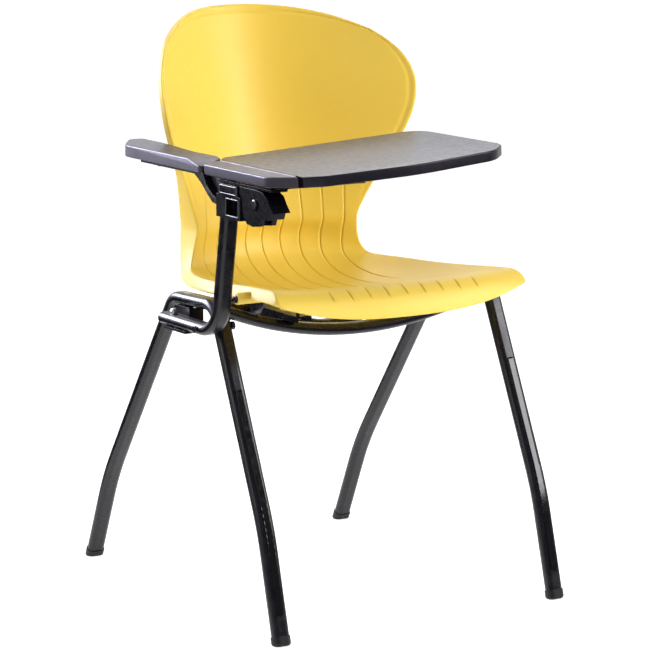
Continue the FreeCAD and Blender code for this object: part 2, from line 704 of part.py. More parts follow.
def shell_rows():
    """Rows of the shell in real sizes: middle, edge, flatness and skirt of each."""
    low = SEAT_LOW.value
    crease = low + the.crease_rise.value
    rows = []
    for mid_y, mid_z, wide, edge_y, edge_z, flat, out, back, down in BACK_ROW_SHARES:
        reach, height = the.back_reach.value, the.back_height.value
        rows.append((mid_y * reach, crease + mid_z * height, wide * the.back_half_width.value,
                     edge_y * reach, crease + edge_z * height, flat, (out, back, down)))
    for mid_y, mid_z, wide, edge_y, edge_z, flat, out, back, down in SEAT_ROW_SHARES:
        reach, height = the.seat_reach.value, the.seat_rise.value
        rows.append((mid_y * reach, low + mid_z * height, wide * the.seat_half_width.value,
                     edge_y * reach, low + edge_z * height, flat, (out, back, down)))
    return rows


def shell_point(row, share):
    """A point of the shell's front: wings sweep forward and the seat's sides lift."""
    mid_y, mid_z, wide, edge_y, edge_z, flat, _ = row
    square = share * share
    sweep = (1 + flat) * square - flat * square * square
    lift = abs(share) ** 3
    return Vector(wide * share, mid_y + (edge_y - mid_y) * sweep, mid_z + (edge_z - mid_z) * lift)


def spline_surface(grid):
    """A smooth surface on a grid of points, cubic where a direction has four or more."""
    degrees = [min(3, len(grid) - 1), min(3, len(grid[0]) - 1)]
    knots, counts = [], []
    for count, degree in zip((len(grid), len(grid[0])), degrees):
        spans = count - degree
        knots.append([span / spans for span in range(spans + 1)])
        counts.append([degree + 1] + [1] * (spans - 1) + [degree + 1])
    surface = Part.BSplineSurface()
    surface.buildFromPolesMultsKnots(grid, counts[0], counts[1], knots[0], knots[1],
                                     False, False, degrees[0], degrees[1])
    return surface.toShape()


def shell_solid():
    """The moulded shell: front, underside, and a skirt that turns back all round the edge."""
    wall = the.shell_wall.value
    depth = the.skirt_depth.value
    rows = shell_rows()
    front = [[shell_point(row, share) for share in ACROSS_SHARES] for row in rows]
    last_row, last_share = len(front) - 1, len(ACROSS_SHARES) - 1

    def normal(i, j):
        """Unit normal of the front at a grid point, away from the sitter."""
        i, j = min(max(i, 1), last_row - 1), min(max(j, 1), last_share - 1)
        along = front[i + 1][j] - front[i - 1][j]
        across = front[i][j + 1] - front[i][j - 1]
        return along.cross(across).normalize() * -1

    def inward(i, j):
        """Unit direction in the surface, square to the rim and away from it."""
        if j in (0, last_share) and 0 < i < last_row:
            tangent = front[i + 1][j] - front[i - 1][j]
        elif j in (0, last_share):
            step = 1 if i == 0 else -1
            side = 1 if j == 0 else -1
            tangent = front[i][j + side] - front[i + step][j]
        else:
            tangent = front[i][j + 1] - front[i][j - 1]
        direction = tangent.cross(normal(i, j)).normalize()
        towards = front[last_row // 2 if i in (0, last_row) else i][last_share // 2] - front[i][j]
        return direction if direction.dot(towards) > 0 else direction * -1

    def skirt(i, j):
        """The skirt's depth at a rim point, out to the side, back and down."""
        out, back, down = rows[i][6]
        return Vector(out * ACROSS_SHARES[j], back, -down) * depth

    rim = [(0, j) for j in range(last_share + 1)]
    sides = {
        "top": rim,
        "right": [(i, last_share) for i in range(last_row + 1)],
        "lip": [(last_row, j) for j in range(last_share + 1)],
        "left": [(i, 0) for i in range(last_row + 1)],
    }
    inner = [[front[i][j] + normal(i, j) * wall for j in range(last_share + 1)] for i in range(last_row + 1)]
    for spots in sides.values():
        for i, j in spots:
            inner[i][j] = front[i][j] + (normal(i, j) + inward(i, j)) * wall
    faces = [spline_surface(front), spline_surface(inner)]
    for spots in sides.values():
        edge = [front[i][j] for i, j in spots]
        end = [front[i][j] + skirt(i, j) for i, j in spots]
        end_inner = [front[i][j] + skirt(i, j) + inward(i, j) * wall for i, j in spots]
        root = [inner[i][j] for i, j in spots]
        for first, second in ((edge, end), (end, end_inner), (end_inner, root)):
            faces.append(spline_surface([first, second]))
    joined = Part.makeShell(faces)
    joined.sewShape()
    solid = Part.Solid(joined)
    if solid.Volume < 0:
        solid.reverse()
    return solid


def with_boss(shell, x, y):
    """Add a boss under the seat, down to a channel, with its screw hole."""
    base = Vector(x, y, WEB_TOP.value + the.contact_gap.value)
    up = Vector(0, 0, 1)
    above = Part.makeCylinder(the.boss_radius.value, the.overrun.value, base, up).cut(shell)
    shell = shell.fuse(min(above.Solids, key=lambda solid: solid.CenterOfMass.z))
    length = the.seat_screw_length.value - the.channel_wall.value
    radius = the.seat_screw_radius.value + the.screw_gap.value
    return shell.cut(Part.makeCylinder(radius, length, base - up * the.contact_gap.value, up))


def with_lug(shell, side):
    """Add a side lug that reaches in to the steel tab, with its screw hole."""
    start = Vector(the.lug_reach.value * side, -the.lug_front_reach.value, LUG_Z.value)
    inward = Vector(-side, 0, 0)
    length = (the.lug_reach - the.tab_inset - the.tab_thickness - the.contact_gap).value
    shell = shell.fuse(Part.makeCylinder(the.lug_radius.value, length, start, inward))
    radius = the.side_screw_radius.value + the.screw_gap.value
    return shell.cut(Part.makeCylinder(radius, the.overrun.value, start, inward))


def seat_shell():
    shell = shell_solid()
    for side in (-1, 1):
        for place in SCREW_PLACES:
            shell = with_boss(shell, the.channel_middle.value * side, place.value)
        shell = with_lug(shell, side)
    piece = doc.addObject("Part::Feature", "seat_shell")
    piece.Shape = max(shell.Solids, key=lambda solid: solid.Volume)
    stand(piece)
    return keep(piece, "seat_shell")


def post_corners(top):
    """The arm tube's line: a level run beside the rail, then a post that leans forward."""
    return [
        (-the.arm_rear_inset, ARM_Z),
        (-the.arm_corner_reach, ARM_Z, the.arm_bend_radius),
        (-the.arm_corner_reach - the.post_lean * top / the.post_height, ARM_Z + top),
    ]


def arm_post():
    body = new_body("arm_post")
    corners = post_corners(the.post_height)
    path, pipe = oval_run(body, "YZ_Plane", ARM_X, corners, the.tube_width, the.tube_depth)
    hollow(body, path, pipe)
    drill(body, "XY_Plane", ARM_Z - the.overrun, the.overrun * 2,
          ARM_X, -the.arm_bolt_reach, the.bolt_radius + the.screw_gap)
    drill(body, "YZ_Plane", ARM_X - the.tube_width, the.tube_width * 2,
          -the.front_bolt_reach, ARM_Z, the.bolt_radius + the.screw_gap)
    return keep(body, "arm_post")


def arm_post_plug():
    body = new_body("arm_post_plug")
    rear = the.contact_gap - the.arm_rear_inset
    lip = the.plug_lip * 2
    cap = [(rear, ARM_Z), (rear + the.plug_cap, ARM_Z)]
    oval_run(body, "YZ_Plane", ARM_X, cap, the.tube_width + lip, the.tube_depth + lip)
    round_edges(body, the.plug_cap / 2, lambda edge: edge.BoundBox.YMin > (rear + the.plug_cap / 2).value)
    inside = (the.tube_wall + the.contact_gap) * 2
    stem = [(rear + the.plug_cap / 2, ARM_Z), (rear - the.plug_stem, ARM_Z)]
    oval_run(body, "YZ_Plane", ARM_X, stem, the.tube_width - inside, the.tube_depth - inside)
    return keep(body, "arm_post_plug")


PLATE_TOP = ARM_Z - the.tube_depth / 2 - the.contact_gap
PLATE_LOW = PLATE_TOP - the.plate_thickness


def arm_mount_plate():
    """Plate under the arm tube, with a block that rises to the side rail, notched for the crossbar."""
    body = new_body("arm_mount_plate")
    outer, inner = ARM_X - the.plate_half_width, -(TRACK - the.riser_width / 2)
    slab(body, "XY_Plane", PLATE_LOW, the.plate_thickness,
         box_corners(outer, inner, -the.plate_front_reach, -the.plate_rear_inset))
    rear, relief = the.riser_rear_reach, the.riser_relief
    front = rear - the.riser_depth
    slope = the.rail_rise / (the.rail_rear_reach + the.rail_front_reach)
    high = the.rail_height + slope * (the.rail_rear_reach - rear) - the.tube_depth / 2 - the.contact_gap * 2
    slab(body, "YZ_Plane", inner - the.riser_width, the.riser_width,
         [(rear, PLATE_LOW), (rear, high - relief), (rear - relief, high), (front, high), (front, PLATE_LOW)])
    beside = TRACK + the.tube_depth / 2 * rear_bar_slope() + the.notch_gap
    half = the.tube_width / 2 + the.notch_gap
    notch = box_corners(-the.rear_bar_reach - half, -the.rear_bar_reach + half,
                        rear_bar_low(-inner) - the.notch_gap, the.rail_height)
    cut_slab(body, "YZ_Plane", -beside, beside + inner + the.overrun, notch)
    drill(body, "XY_Plane", PLATE_LOW - the.overrun, the.overrun * 2,
          ARM_X, -the.arm_bolt_reach, the.bolt_radius + the.screw_gap)
    return keep(body, "arm_mount_plate")


def arm_bolt_and_nut():
    start = PLATE_LOW - the.contact_gap / 2 - the.bolt_head_height
    nut_start = ARM_Z + the.tube_depth / 2 + the.contact_gap / 2
    shank = nut_start - start - the.bolt_head_height + the.nut_height / 2
    bolt = bolt_outline(the.bolt_head_radius, the.bolt_head_height, the.bolt_radius, shank)
    keep(turned("arm_bolt", "+Z", ARM_X, -the.arm_bolt_reach, start, bolt), "arm_bolt")
    bore = the.bolt_radius + the.screw_gap
    dome = [(0, bore), (0, the.nut_radius), (the.nut_height * 0.55, the.nut_radius),
            (the.nut_height, the.nut_radius * 0.5), (the.nut_height, 0), (the.nut_height * 0.6, 0),
            (the.nut_height * 0.6, bore)]
    keep(turned("arm_cap_nut", "+Z", ARM_X, -the.arm_bolt_reach, nut_start, dome), "arm_cap_nut")


def front_arm_fixings():
    """The bolt that ties the arm tube to the front leg, its spacer and its nut."""
    y, z = -the.front_bolt_reach, ARM_Z
    outer = ARM_X - the.tube_width / 2 - the.contact_gap
    leg = -(TRACK + the.front_bolt_reach * the.toe_share)
    inner = leg + the.tube_width / 2 + the.contact_gap
    start = outer - the.bolt_head_height
    shank = inner + the.nut_height * 0.8 - outer
    steps = bolt_outline(the.bolt_head_radius, the.bolt_head_height, the.bolt_radius, shank)
    keep(turned("front_arm_bolt", "+X", start, y, z, steps), "front_arm_bolt")
    near = ARM_X + the.tube_width / 2 + the.contact_gap
    length = leg - the.tube_width / 2 - the.contact_gap - near
    ring = ring_outline(the.bolt_radius + the.screw_gap, the.spacer_radius, length)
    keep(turned("front_arm_spacer", "+X", near, y, z, ring), "front_arm_spacer")
    ring = ring_outline(the.bolt_radius + the.screw_gap, the.nut_radius, the.nut_height * 0.7)
    keep(turned("front_arm_nut", "+X", inner, y, z, ring), "front_arm_nut")


HOUSING_LOW = POST_TOP_Z - the.housing_drop
HOUSING_FRONT = HOUSING_REAR - the.housing_depth
HOUSING_TOP = HOUSING_LOW + the.housing_height


def pivot_housing():
    """Block on the post's top: a lower box with a framed recess, a cap, and a tongue for the pin."""
    body = new_body("pivot_housing")
    outer, wide = ARM_X - the.housing_half_width, the.housing_half_width * 2
    lower = box_corners(HOUSING_FRONT, HOUSING_REAR, HOUSING_LOW, HOUSING_TOP)
    slab(body, "YZ_Plane", outer, wide, lower)
    upper = box_corners(HOUSING_FRONT + the.cap_front_inset, HOUSING_REAR - the.cap_rear_inset,
                        HOUSING_TOP - the.contact_gap, HOUSING_TOP + the.cap_height)
    slab(body, "YZ_Plane", outer, wide, upper)
    inner = HOUSING_FRONT + the.recess_rim
    window = box_corners(inner, HOUSING_FRONT + the.recess_length,
                         HOUSING_LOW + the.recess_rim, HOUSING_TOP - the.recess_rim)
    cut_slab(body, "YZ_Plane", outer, the.recess_depth, window)
    tongue = [(HOUSING_FRONT + the.recess_rim / 2, PIN_Z - the.tongue_radius),
              (HOUSING_FRONT + the.recess_rim / 2, PIN_Z + the.tongue_radius / 2),
              (PIN_Y, PIN_Z + the.tongue_radius), (PIN_Y, PIN_Z - the.tongue_radius)]
    slab(body, "YZ_Plane", ARM_X - the.tongue_width / 2, the.tongue_width, tongue)
    disc(body, "YZ_Plane", ARM_X - the.tongue_width / 2, the.tongue_width, PIN_Y, PIN_Z, the.tongue_radius)
    drill(body, "YZ_Plane", ARM_X - the.overrun / 2, the.overrun, PIN_Y, PIN_Z, the.pin_radius + the.pin_gap)
    grown = the.contact_gap * 2
    socket = post_corners(the.post_height + the.contact_gap)[1:]
    start = (socket[0][0], socket[0][1])
    oval_run(body, "YZ_Plane", ARM_X, [start, socket[1]], the.tube_width + grown, the.tube_depth + grown,
             "PartDesign::SubtractivePipe")
    for y, z in housing_bolt_places():
        drill(body, "YZ_Plane", outer, the.recess_depth + the.housing_bolt_length,
              y, z, the.housing_bolt_radius + the.screw_gap)
    return keep(body, "pivot_housing")


def housing_bolt_places():
    y = HOUSING_FRONT + the.recess_rim * 2.5
    return [(y, HOUSING_LOW + the.recess_rim * 2.4), (y + the.recess_rim, HOUSING_TOP - the.recess_rim * 2.4)]


def housing_bolts():
    bolts = []
    for y, z in housing_bolt_places():
        floor = ARM_X - the.housing_half_width + the.recess_depth
        start = floor - the.contact_gap / 2 - the.housing_bolt_head_height
        steps = bolt_outline(the.housing_bolt_head, the.housing_bolt_head_height,
                           the.housing_bolt_radius, the.housing_bolt_length - the.contact_gap)
        bolts.append(turned(f"HousingBolt{len(bolts)}", "+X", start, y, z, steps))
    return gather("housing_bolts", bolts)


CAM_TOP = HOUSING_TOP + the.cap_height + the.running_gap * 1.6


def locking_cam():
    """Hooked cam: two cheeks beside the tongue, joined above it and in front of the pin."""
    body = new_body("locking_cam")
    rear = PIN_Y + the.cam_length * 0.46
    outline = []
    for ahead_share, down_share in CAM_OUTLINE_SHARES:
        outline.append((rear - the.cam_length * ahead_share, CAM_TOP - the.cam_height * down_share))
    slab(body, "YZ_Plane", ARM_X - the.cam_half_width, the.cam_half_width * 2, outline)
    gap = the.tongue_radius * 0.45 + the.tongue_radius
    slot = [(PIN_Y + the.overrun, PIN_Z + gap), (PIN_Y - gap * 1.2, PIN_Z + gap), (PIN_Y - gap * 1.2, PIN_Z),
            (PIN_Y - gap * 2.1, PIN_Z - gap * 2), (PIN_Y + the.overrun, PIN_Z - gap * 4)]
    half = the.tongue_width / 2 + the.running_gap
    cut_slab(body, "YZ_Plane", ARM_X - half, half * 2, slot)
    drill(body, "YZ_Plane", ARM_X - the.overrun / 2, the.overrun, PIN_Y, PIN_Z, the.pin_radius + the.pin_gap)
    return keep(body, "locking_cam")


def swing_pin():
    outer = ARM_X - the.cam_half_width - the.running_gap
    start = outer - the.pin_head_height
    shank = the.cam_half_width * 2 + the.running_gap * 2 + the.clip_thickness * 1.5
    steps = bolt_outline(the.pin_head_radius, the.pin_head_height, the.pin_radius, shank)
    keep(turned("swing_pin", "+X", start, PIN_Y, PIN_Z, steps), "swing_pin")
    clip = ring_outline(the.pin_radius + the.screw_gap, the.pin_head_radius, the.clip_thickness)
    inner = ARM_X + the.cam_half_width + the.running_gap
    keep(turned("swing_pin_clip", "+X", inner, PIN_Y, PIN_Z, clip), "swing_pin_clip")


REST_SCREW_PLACES = [-the.rest_screw_rear_reach, -the.rest_screw_front_reach]
PAD_LOW = TABLET_Z + the.pad_lift
BRACKET_TOP = PAD_LOW - the.contact_gap


def arm_bracket():
    """Bracket behind the housing: curved rear flange, web, and a top plate under the armrest."""
    body = new_body("arm_bracket")
    butt = HOUSING_REAR + the.contact_gap
    low = BRACKET_TOP - the.bracket_plate
    fall = low - HOUSING_LOW - the.housing_height / 2
    reach = -the.bracket_front_reach - butt
    outer, wide = ARM_X - the.bracket_half_width, the.bracket_half_width * 2
    plate = box_corners(-the.bracket_front_reach, the.bracket_rear_reach, low, BRACKET_TOP)
    slab(body, "YZ_Plane", outer, wide, plate)
    nose = -the.bracket_front_reach
    flange = [
        (nose + reach * 0.75, low + the.bracket_plate / 2), (nose + reach * 0.1, low - fall * 0.36),
        (nose - reach * 0.3, low - fall * 0.7), (nose - reach * 0.7, low - fall * 0.97), (butt, low - fall),
        (butt, low - fall + the.flange_thickness), (nose - reach * 0.6, low - fall * 0.62),
        (nose - reach * 0.2, low - fall * 0.3), (nose + the.contact_gap, low + the.bracket_plate / 2),
    ]
    slab(body, "YZ_Plane", outer, wide, flange)
    web = [(nose + reach * 0.2, low + the.bracket_plate / 2), (nose - reach * 0.3, low - fall * 0.6),
           (butt, low - fall * 0.9), (butt, low + the.bracket_plate / 4), (nose, low + the.bracket_plate / 2)]
    slab(body, "YZ_Plane", ARM_X - the.web_thickness / 2, the.web_thickness, web)
    for place in REST_SCREW_PLACES:
        drill(body, "XY_Plane", low - the.overrun, the.overrun * 2,
              ARM_X, place, the.seat_screw_radius + the.screw_gap)
    return keep(body, "arm_bracket")


def armrest_pad():
    """Armrest: straight outer side, waisted inner side, round rear end and a sloping front end."""
    body = new_body("armrest_pad")
    wing = the.back_half_width * 0.908 + the.pad_inner_gap
    width = -OUTER_X - wing
    rear, front = the.pad_rear_reach, -the.pad_front_reach
    length = the.pad_rear_reach + the.pad_front_reach
    corners = [
        (OUTER_X, front, width * 0.12), (OUTER_X, rear - length * 0.2, width),
        (OUTER_X + width * 0.62, rear, width * 0.3), (-wing, rear, width * 0.15),
        (-wing, rear - length * 0.2, width * 2), (-wing - width * 0.25, rear - length * 0.66, width * 2),
        (OUTER_X + width * 0.79, front + length * 0.11, width * 0.14),
    ]
    slab(body, "XY_Plane", PAD_LOW, the.pad_height, corners)
    top = PAD_LOW + the.pad_height
    nose = [(front + the.pad_nose_length, top), (front - the.overrun, top - the.pad_nose_drop * 2.5),
            (front - the.overrun, top + the.overrun), (front + the.pad_nose_length, top + the.overrun)]
    cut_slab(body, "YZ_Plane", OUTER_X - the.overrun, the.overrun * 3, nose)
    for place in REST_SCREW_PLACES:
        drill(body, "XY_Plane", PAD_LOW - the.overrun, the.overrun + the.rest_screw_length,
              ARM_X, place, the.seat_screw_radius + the.screw_gap)
    middle_height = (PAD_LOW + the.pad_height / 2).value
    crease = (front + the.pad_nose_length).value

    def rim(edge):
        across = edge.BoundBox.YLength < 0.01 and abs(edge.BoundBox.YMin - crease) < 0.01
        return edge.BoundBox.ZMin > middle_height and not across and not edge.isClosed()

    round_edges(body, the.pad_round, rim)
    return keep(body, "armrest_pad")


def armrest_screws():
    screws = []
    for place in REST_SCREW_PLACES:
        start = BRACKET_TOP - the.bracket_plate - the.contact_gap / 2 - the.seat_screw_head_height
        length = the.bracket_plate + the.rest_screw_length - the.contact_gap
        steps = bolt_outline(the.seat_screw_head, the.seat_screw_head_height, the.seat_screw_radius, length)
        screws.append(turned(f"RestScrew{len(screws)}", "+Z", ARM_X, place, start, steps))
    return gather("armrest_screws", screws)


# The tablet's pieces are drawn flat, from the tablet's lower outer edge, and tilted as one.
SEAM_Z = the.tablet_thickness - the.hinge_axis_drop
REAR_Y = -the.tablet_rear_reach


def tilt(body):
    """Lift the inner side of a tablet piece about the tablet's lower outer edge."""
    body.Placement = Placement(Vector(0, 0, 0), Rotation(Vector(0, 1, 0), -1.0))
    stand(body, OUTER_X, 0, TABLET_Z)
    body.setExpression("Placement.Rotation.Angle", "0 - Sizes.tablet_tilt")


def tablet_rounding(body):
    """Round the edges of a tablet piece's top and bottom."""
    thick = the.tablet_thickness.value

    def outline_edge(edge):
        flat = edge.BoundBox.ZLength < 0.001
        seam = abs(edge.BoundBox.XMin - edge.BoundBox.XMax) < 0.001
        close = abs(edge.BoundBox.XMin - the.seam_place.value) < the.seam_half_gap.value * 1.5
        level = edge.BoundBox.ZMin < 0.001 or edge.BoundBox.ZMax > thick - 0.001
        return flat and level and not (seam and close)

    round_edges(body, the.tablet_round, outline_edge)


CARRIER_REAR = REAR_Y - the.carrier_rear_inset
CARRIER_FRONT = TABLET_FRONT_Y + the.carrier_front_inset
CARRIER_ARM_FRONT = TABLET_FRONT_Y + the.carrier_arm_inset
CARRIER_ARM_REAR = CARRIER_ARM_FRONT + the.carrier_arm_width


def strip_screw_places():
    inset = (CARRIER_REAR - CARRIER_FRONT) * 0.12
    return [CARRIER_REAR - inset, CARRIER_FRONT + inset]


CARRIER_LOW = CAM_TOP + the.contact_gap
CARRIER_TOP = CARRIER_LOW + the.carrier_thickness
TILT_SHARE = Length("tan(Sizes.tablet_tilt)", math.tan(math.radians(the.tablet_tilt.value)))
SEAM_REAR = REAR_Y - the.tablet_depth * 0.13
SEAM_OUTER = the.seam_place - the.seam_half_gap
SEAM_INNER = the.seam_place + the.seam_half_gap


def tablet_strip():
    """Narrow outer part of the tablet, fixed to the carrier, with two bosses under it."""
    body = doc.addObject("PartDesign::Body", "tablet_strip")
    depth = the.tablet_depth
    corners = [(0, REAR_Y - depth * 0.176, depth * 0.02), (0, REAR_Y - depth * 0.785, depth * 0.07),
               (SEAM_OUTER, REAR_Y - depth * 0.908), (SEAM_OUTER, SEAM_REAR)]
    slab(body, "XY_Plane", 0, the.tablet_thickness, corners)
    tablet_rounding(body)
    boss = (TABLET_Z - CARRIER_TOP) * 1.1
    for place in strip_screw_places():
        disc(body, "XY_Plane", -boss, boss + the.tablet_round * 2,
             the.pad_outer, place, the.strip_boss_radius)
        drill(body, "XY_Plane", -boss - the.overrun, the.overrun + the.strip_screw_length,
              the.pad_outer, place, the.strip_screw_radius + the.screw_gap)
    tilt(body)
    return keep(body, "tablet_strip")


def tablet_board():
    """The folding leaf of the writing tablet."""
    body = doc.addObject("PartDesign::Body", "tablet_board")
    width, depth = the.tablet_width, the.tablet_depth
    corners = [(SEAM_INNER, SEAM_REAR), (SEAM_INNER, REAR_Y - depth * 0.923)]
    for across_share, ahead_share, radius_share in LEAF_OUTLINE_SHARES:
        corners.append((width * across_share, REAR_Y - depth * ahead_share, depth * radius_share))
    slab(body, "XY_Plane", 0, the.tablet_thickness, corners)
    tablet_rounding(body)
    tilt(body)
    return keep(body, "tablet_board")


KNUCKLE_COUNT = 5
HINGE_REAR = REAR_Y - the.tablet_depth * 0.15


def hinge_leaf(name, side, first_knuckle):
    """One leaf of the long hinge in the seam: a plate on the edge and its own knuckles."""
    body = doc.addObject("PartDesign::Body", name)
    outer = the.seam_half_gap - the.contact_gap / 2
    inner = outer - the.leaf_thickness
    low_x = the.seam_place + (inner if side > 0 else -outer)
    high_x = the.seam_place + (outer if side > 0 else -inner)
    top = SEAM_Z - the.hinge_knuckle - the.leaf_space
    plate = box_corners(low_x, high_x, top - the.leaf_height, top)
    slab(body, "XZ_Plane", -HINGE_REAR, the.hinge_length, plate)
    pitch = the.hinge_length / KNUCKLE_COUNT
    for knuckle in range(first_knuckle, KNUCKLE_COUNT, 2):
        start = -HINGE_REAR + pitch * knuckle + the.knuckle_gap / 2
        length = pitch - the.knuckle_gap
        slab(body, "XZ_Plane", start, length, box_corners(low_x, high_x, top - the.leaf_space, SEAM_Z))
        disc(body, "XZ_Plane", start, length, the.seam_place, SEAM_Z, the.hinge_knuckle)
    drill(body, "XZ_Plane", -HINGE_REAR - the.overrun, the.hinge_length + the.overrun * 2,
          the.seam_place, SEAM_Z, the.hinge_pin_radius + the.pin_gap)
    tilt(body)
    return keep(body, name)


def hinge_pin():
    body = doc.addObject("PartDesign::Body", "hinge_pin")
    disc(body, "XZ_Plane", -HINGE_REAR, the.hinge_length, the.seam_place, SEAM_Z, the.hinge_pin_radius)
    tilt(body)
    return keep(body, "hinge_pin")


def hinge_carrier():
    """Steel plate on the cam, with an arm that reaches under the folding leaf."""
    body = new_body("hinge_carrier")
    low_x, high_x = ARM_X - the.plate_half_width, ARM_X + the.cam_half_width
    tip = OUTER_X + the.carrier_arm + the.rest_length
    corners = [(low_x, CARRIER_REAR), (low_x, CARRIER_FRONT), (high_x, CARRIER_FRONT),
               (high_x, CARRIER_ARM_FRONT), (tip, CARRIER_ARM_FRONT), (tip, CARRIER_ARM_REAR),
               (high_x, CARRIER_ARM_REAR), (high_x, CARRIER_REAR)]
    slab(body, "XY_Plane", CARRIER_LOW, the.carrier_thickness, corners)
    x = OUTER_X + the.pad_outer
    for place in strip_screw_places():
        drill(body, "XY_Plane", CARRIER_LOW - the.overrun, the.overrun * 2,
              x, place, the.strip_screw_radius + the.running_gap)
        drill(body, "XY_Plane", CARRIER_LOW - the.overrun, the.overrun + the.strip_screw_head_height * 1.45,
              x, place, the.strip_screw_head + the.running_gap)
    return keep(body, "hinge_carrier")


def strip_screws():
    screws = []
    low = -(TABLET_Z - CARRIER_LOW) - TILT_SHARE * the.pad_outer + the.running_gap
    for place in strip_screw_places():
        body = doc.addObject("PartDesign::Body", f"StripScrew{len(screws)}")
        disc(body, "XY_Plane", low, the.strip_screw_head_height, the.pad_outer, place, the.strip_screw_head)
        disc(body, "XY_Plane", low, the.strip_screw_length, the.pad_outer, place, the.strip_screw_radius)
        tilt(body)
        screws.append(body)
    return gather("strip_screws", screws)


def rest_pad():
    """Rubber pad on the carrier's arm, on which the folding leaf lies."""
    body = doc.addObject("PartDesign::Body", "rest_pad")
    near = the.carrier_arm
    low = -(TABLET_Z - CARRIER_TOP) - TILT_SHARE * near + the.contact_gap * 2
    middle = (CARRIER_ARM_FRONT + CARRIER_ARM_REAR) / 2
    half = the.rest_width / 2
    corners = box_corners(near, near + the.rest_length, middle - half, middle + half)
    slab(body, "XY_Plane", low, -low - the.contact_gap * 1.5, corners)
    tilt(body)
    return keep(body, "rest_pad")


def check(pieces):
    """Every object has to be up to date and every node a sound solid."""
    for piece in doc.Objects:
        if "Invalid" in piece.State or "Error" in piece.State:
            raise ValueError(f"{piece.Name} failed: {piece.State}")
    for piece in pieces:
        shape = piece.Shape
        if shape.isNull() or not shape.isValid() or not shape.Solids or shape.Volume <= 0:
            raise ValueError(f"{piece.Label} has no sound solid")


def build():
    copes = [frame_cope("LeftCope", -1), frame_cope("RightCope", 1)]
    side_frame("left_side_frame", -1)
    side_frame("right_side_frame", 1)
    front_crossbar(copes)
    rear_crossbar(copes)
    for side, word in ((-1, "left"), (1, "right")):
        seat_channel(f"{word}_seat_channel", side)
        front_tab(f"{word}_front_tab", side)
        glide(f"{word}_rear_glide", side, the.rear_foot_reach, the.rear_bend_reach, the.rear_bend_height)
        glide(f"{word}_front_glide", side,
              -the.front_foot_reach, -the.front_bend_reach, the.front_bend_height)
        leg_strip(f"{word}_leg_strip", side)
    seat_screws()
    shell_side_screws()
    seat_shell()
    arm_post()
    arm_post_plug()
    arm_mount_plate()
    arm_bolt_and_nut()
    front_arm_fixings()
    pivot_housing()
    housing_bolts()
    locking_cam()
    swing_pin()
    arm_bracket()
    armrest_pad()
    armrest_screws()
    hinge_carrier()
    tablet_strip()
    tablet_board()
    hinge_leaf("hinge_fixed_leaf", -1, 0)
    hinge_leaf("hinge_moving_leaf", 1, 1)
    hinge_pin()
    strip_screws()
    rest_pad()
    doc.recompute()
    check(nodes)


build()
for node in nodes:
    node.Shape.exportStep(f"parts/{node.Label}.step")
    box = node.Shape.BoundBox
    print(node.Label, len(node.Shape.Solids), round(node.Shape.Volume),
          [round(value, 1) for value in (box.XMin, box.XMax, box.YMin, box.YMax, box.ZMin, box.ZMax)])
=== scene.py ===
"""Stacking chair with a moulded yellow shell, a black oval-tube frame, one armrest and a
writing tablet. Looks of every piece, their materials, the light and the view.

Metres throughout. The chair faces -Y and the sitter's right side is -X.
"""
import json
import math

import bmesh
import bpy
import numpy as np
from mathutils import Matrix, Vector
from mathutils.bvhtree import BVHTree

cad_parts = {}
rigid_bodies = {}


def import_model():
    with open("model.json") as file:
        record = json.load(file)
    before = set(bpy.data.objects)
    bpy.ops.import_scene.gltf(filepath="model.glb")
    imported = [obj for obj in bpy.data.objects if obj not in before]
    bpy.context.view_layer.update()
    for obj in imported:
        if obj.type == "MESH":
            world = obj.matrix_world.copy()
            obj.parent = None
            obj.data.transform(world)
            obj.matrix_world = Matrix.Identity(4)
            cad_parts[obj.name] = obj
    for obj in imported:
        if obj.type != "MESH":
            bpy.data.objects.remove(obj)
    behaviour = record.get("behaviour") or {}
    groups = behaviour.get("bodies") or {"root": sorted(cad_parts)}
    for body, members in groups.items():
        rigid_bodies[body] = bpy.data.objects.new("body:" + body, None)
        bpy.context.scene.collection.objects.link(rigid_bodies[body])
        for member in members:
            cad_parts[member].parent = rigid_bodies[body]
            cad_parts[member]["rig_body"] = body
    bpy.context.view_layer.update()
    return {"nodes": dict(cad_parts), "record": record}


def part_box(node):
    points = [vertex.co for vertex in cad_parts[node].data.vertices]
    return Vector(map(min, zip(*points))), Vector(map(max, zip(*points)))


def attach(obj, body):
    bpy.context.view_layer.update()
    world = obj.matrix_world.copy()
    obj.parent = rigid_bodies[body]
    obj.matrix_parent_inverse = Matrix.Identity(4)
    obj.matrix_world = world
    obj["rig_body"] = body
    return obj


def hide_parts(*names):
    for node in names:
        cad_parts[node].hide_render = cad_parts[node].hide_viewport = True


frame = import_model()
nodes = frame["nodes"]

# Place of the chair's middle line and of the seat's own origin
SHIFT = np.array([0.01371, 0.0389, 0.0])

# Shell: wall, rounded rim, rolled skirt, seat grooves, and the valley just inside the back's rim
WALL = 0.005
RIM_ROUND = 0.004
SKIRT_DEPTH = 0.046
GROOVE_PITCH = 0.0286
GROOVES_EACH_SIDE = 4
GROOVE_HALF = 0.0017
GROOVE_DEPTH = 0.0013
VALLEY_PLACE = 0.0052
VALLEY_HALF = 0.0042
VALLEY_DEPTH = 0.0014

# Side lugs of the shell and their screws, measured from SHIFT
LUG_REACH, SCREW_REACH, LUG_Y, LUG_Z = 0.2036, 0.2062, -0.128, 0.4375

# Front leg's track from the middle line, its toe, and how far out a strip's edge begins
LEG_TRACK, LEG_TOE, STRIP_EDGE = 0.2168, 0.015, 0.0043

# Pivot housing: depth, lower height, cap, and the recess in its side
HOUSING_DEPTH, HOUSING_HEIGHT, CAP_HEIGHT, CAP_INSET = 0.061, 0.030, 0.014, 0.007
RECESS_RIM, RECESS_LENGTH = 0.004, 0.036


# Materials

